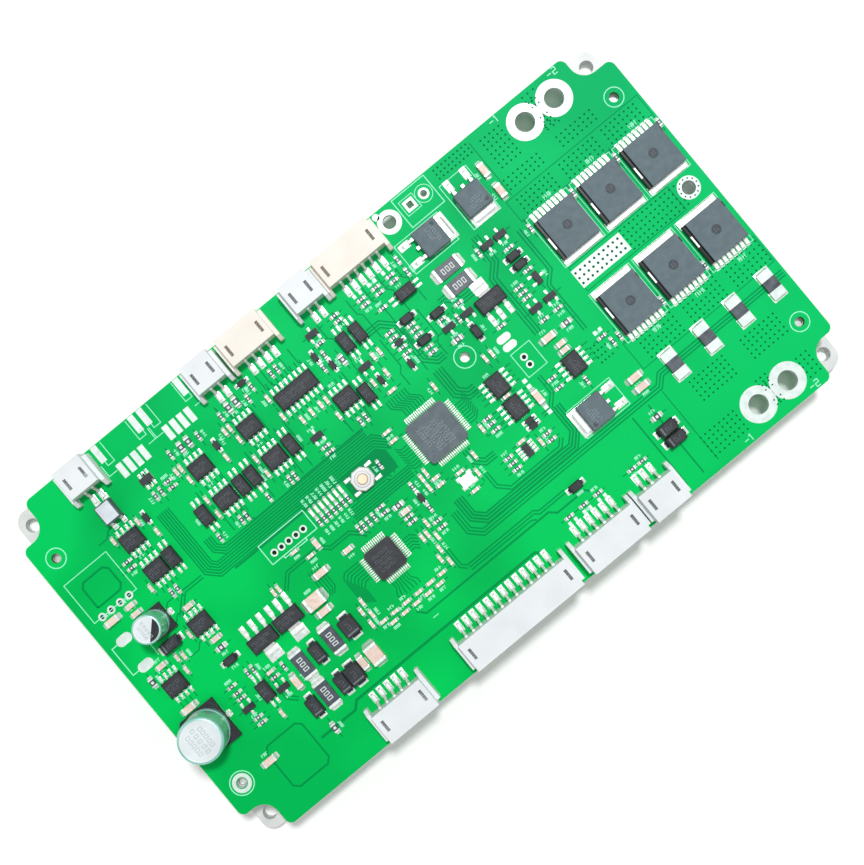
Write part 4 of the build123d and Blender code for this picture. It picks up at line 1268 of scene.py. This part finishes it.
def make_power_transistor_solder(node, x, y, way):
    solder = Solder()
    solder.place(x, y)
    solder.joint(way, 0, (5.15, 4.6, 6.75, 0.06, 0.03), (6.5, 9.4, 0.25, 0.4))
    for u in MOSFET_LEADS:
        solder.joint(-way, u, (0.47, 4.9, 7, 0.06, 0.03), (6.55, 0.78, 0.3, 0.34))
    solder.make(node + "_solder", ["solder"], smooth=True)


def make_power_transistor_marks(node, x, y):
    """Two rows of slanted strokes, and two bars in the dimple."""
    marks = Pile()
    marks.place(x + 0.3, y + 0.25, 0, solids(node)[0].high[2])
    for v, span in ((3.3, 2.4), (-3.4, 2)):
        for index in range(7):
            u = (index / 6 - 0.5) * 2 * span
            foot = v + (0.3 if index % 2 else -0.3)
            marks.line([(u, v - 0.35), (u + 0.1, v + 0.35)], 0.1, 0, 0.008)
            marks.line([(u, foot), (u + 0.45, foot)], 0.1, 0, 0.008)
    for u in (-0.35, 0.25):
        marks.line([(u, -0.5), (u, 0.5)], 0.12, 0, MARK_HEIGHT)
    marks.make(node + "_marks", ["epoxy_print"])


mosfet_places = [(x, y, -1 if turn else 1) for y, turn in MOSFET_ROWS for x in MOSFET_COLUMNS]
for node, (x, y, way) in zip(MOSFETS, mosfet_places):
    make_power_transistor(node, x, y, way)
    make_power_transistor_solder(node, x, y, way)
    make_power_transistor_marks(node, x, y)


# Drain-tab transistors: body, metal tab under its far end, two formed leads and the cut middle one
def make_tab_transistor(node, x, y, turn):
    height = solids(node)[0].size[2]
    part = Pile()
    part.place(x, y, turn)
    part.block(-3.25, -3.05, 0.2, 3.25, 3.05, height, 0.3)
    part.block(-2.65, 2, 0, 2.65, 4.25, 0.5, 0.08, 2)
    part.disc(-2.2, 1.9, 0.5, height - 0.02, height + 0.005, 24, 1)
    for u in TAB_LEADS:
        part.block(u - 0.4, -3.7, 0.85, u + 0.4, -3, 1.15, 0.04, 2)
        part.block(u - 0.4, -4.5, 0.3, u + 0.4, -3.65, 0.95, 0.2, 2)
        part.block(u - 0.4, -5.65, 0, u + 0.4, -4.3, 0.45, 0.08, 2)
    part.block(-0.4, -3.85, 0.9, 0.4, -3, 1.4, 0.04, 2)
    part.make(node + "_dressed", ["epoxy_top", "epoxy_dimple", "lead"], "black_moulding", node)


for number, place in enumerate(TAB_PLACES, 1):
    make_tab_transistor(f"tab_transistor_{number}", *place)


# Push switch housing: an eight-sided body with a round collar, a bore for the button and four feet
SWITCH_HALF = 2.5
SWITCH_CUT = 1.4
SWITCH_BORE = 1.15
SWITCH_COLLAR = 1.75
COLLAR_HEIGHT = 0.35
SWITCH_SIDES = 64


def make_switch():
    housing = solids("switch_housing")[0]
    top = housing.size[2]
    shoulder = top - COLLAR_HEIGHT
    turns = [2 * math.pi * index / SWITCH_SIDES for index in range(SWITCH_SIDES)]

    def outline(inset, z):
        """One level of the eight-sided body."""
        points = []
        for u, v in ((math.cos(turn), math.sin(turn)) for turn in turns):
            across = max(abs(u), abs(v)) / SWITCH_HALF
            reach = 1 / max(across, (abs(u) + abs(v)) / (2 * SWITCH_HALF - SWITCH_CUT)) - inset
            points.append((reach * u, reach * v, z))
        return points

    part = Pile()
    part.place(housing.x, housing.y)
    round_levels = ((SWITCH_COLLAR + 0.1, shoulder), (SWITCH_COLLAR, top - 0.08), (SWITCH_COLLAR - 0.1, top),
                    (SWITCH_BORE + 0.1, top), (SWITCH_BORE, top - 0.1), (SWITCH_BORE, 0.1))
    part.loft([outline(0, 0.05), outline(0, shoulder - 0.25), outline(0.2, shoulder),
               *(part.circle(0, 0, radius, z, SWITCH_SIDES) for radius, z in round_levels),
               outline(0, 0.05)], 0, False, False)
    for x in WAYS:
        for y in WAYS:
            part.block(x * 2, y * 1.85 - 0.35, 0, x * 3.42, y * 1.85 + 0.35, 0.25, 0.05, 1)
    part.make("switch_housing_dressed", ["silver", "lead"], "cream_plastic", "switch_housing")


make_switch()
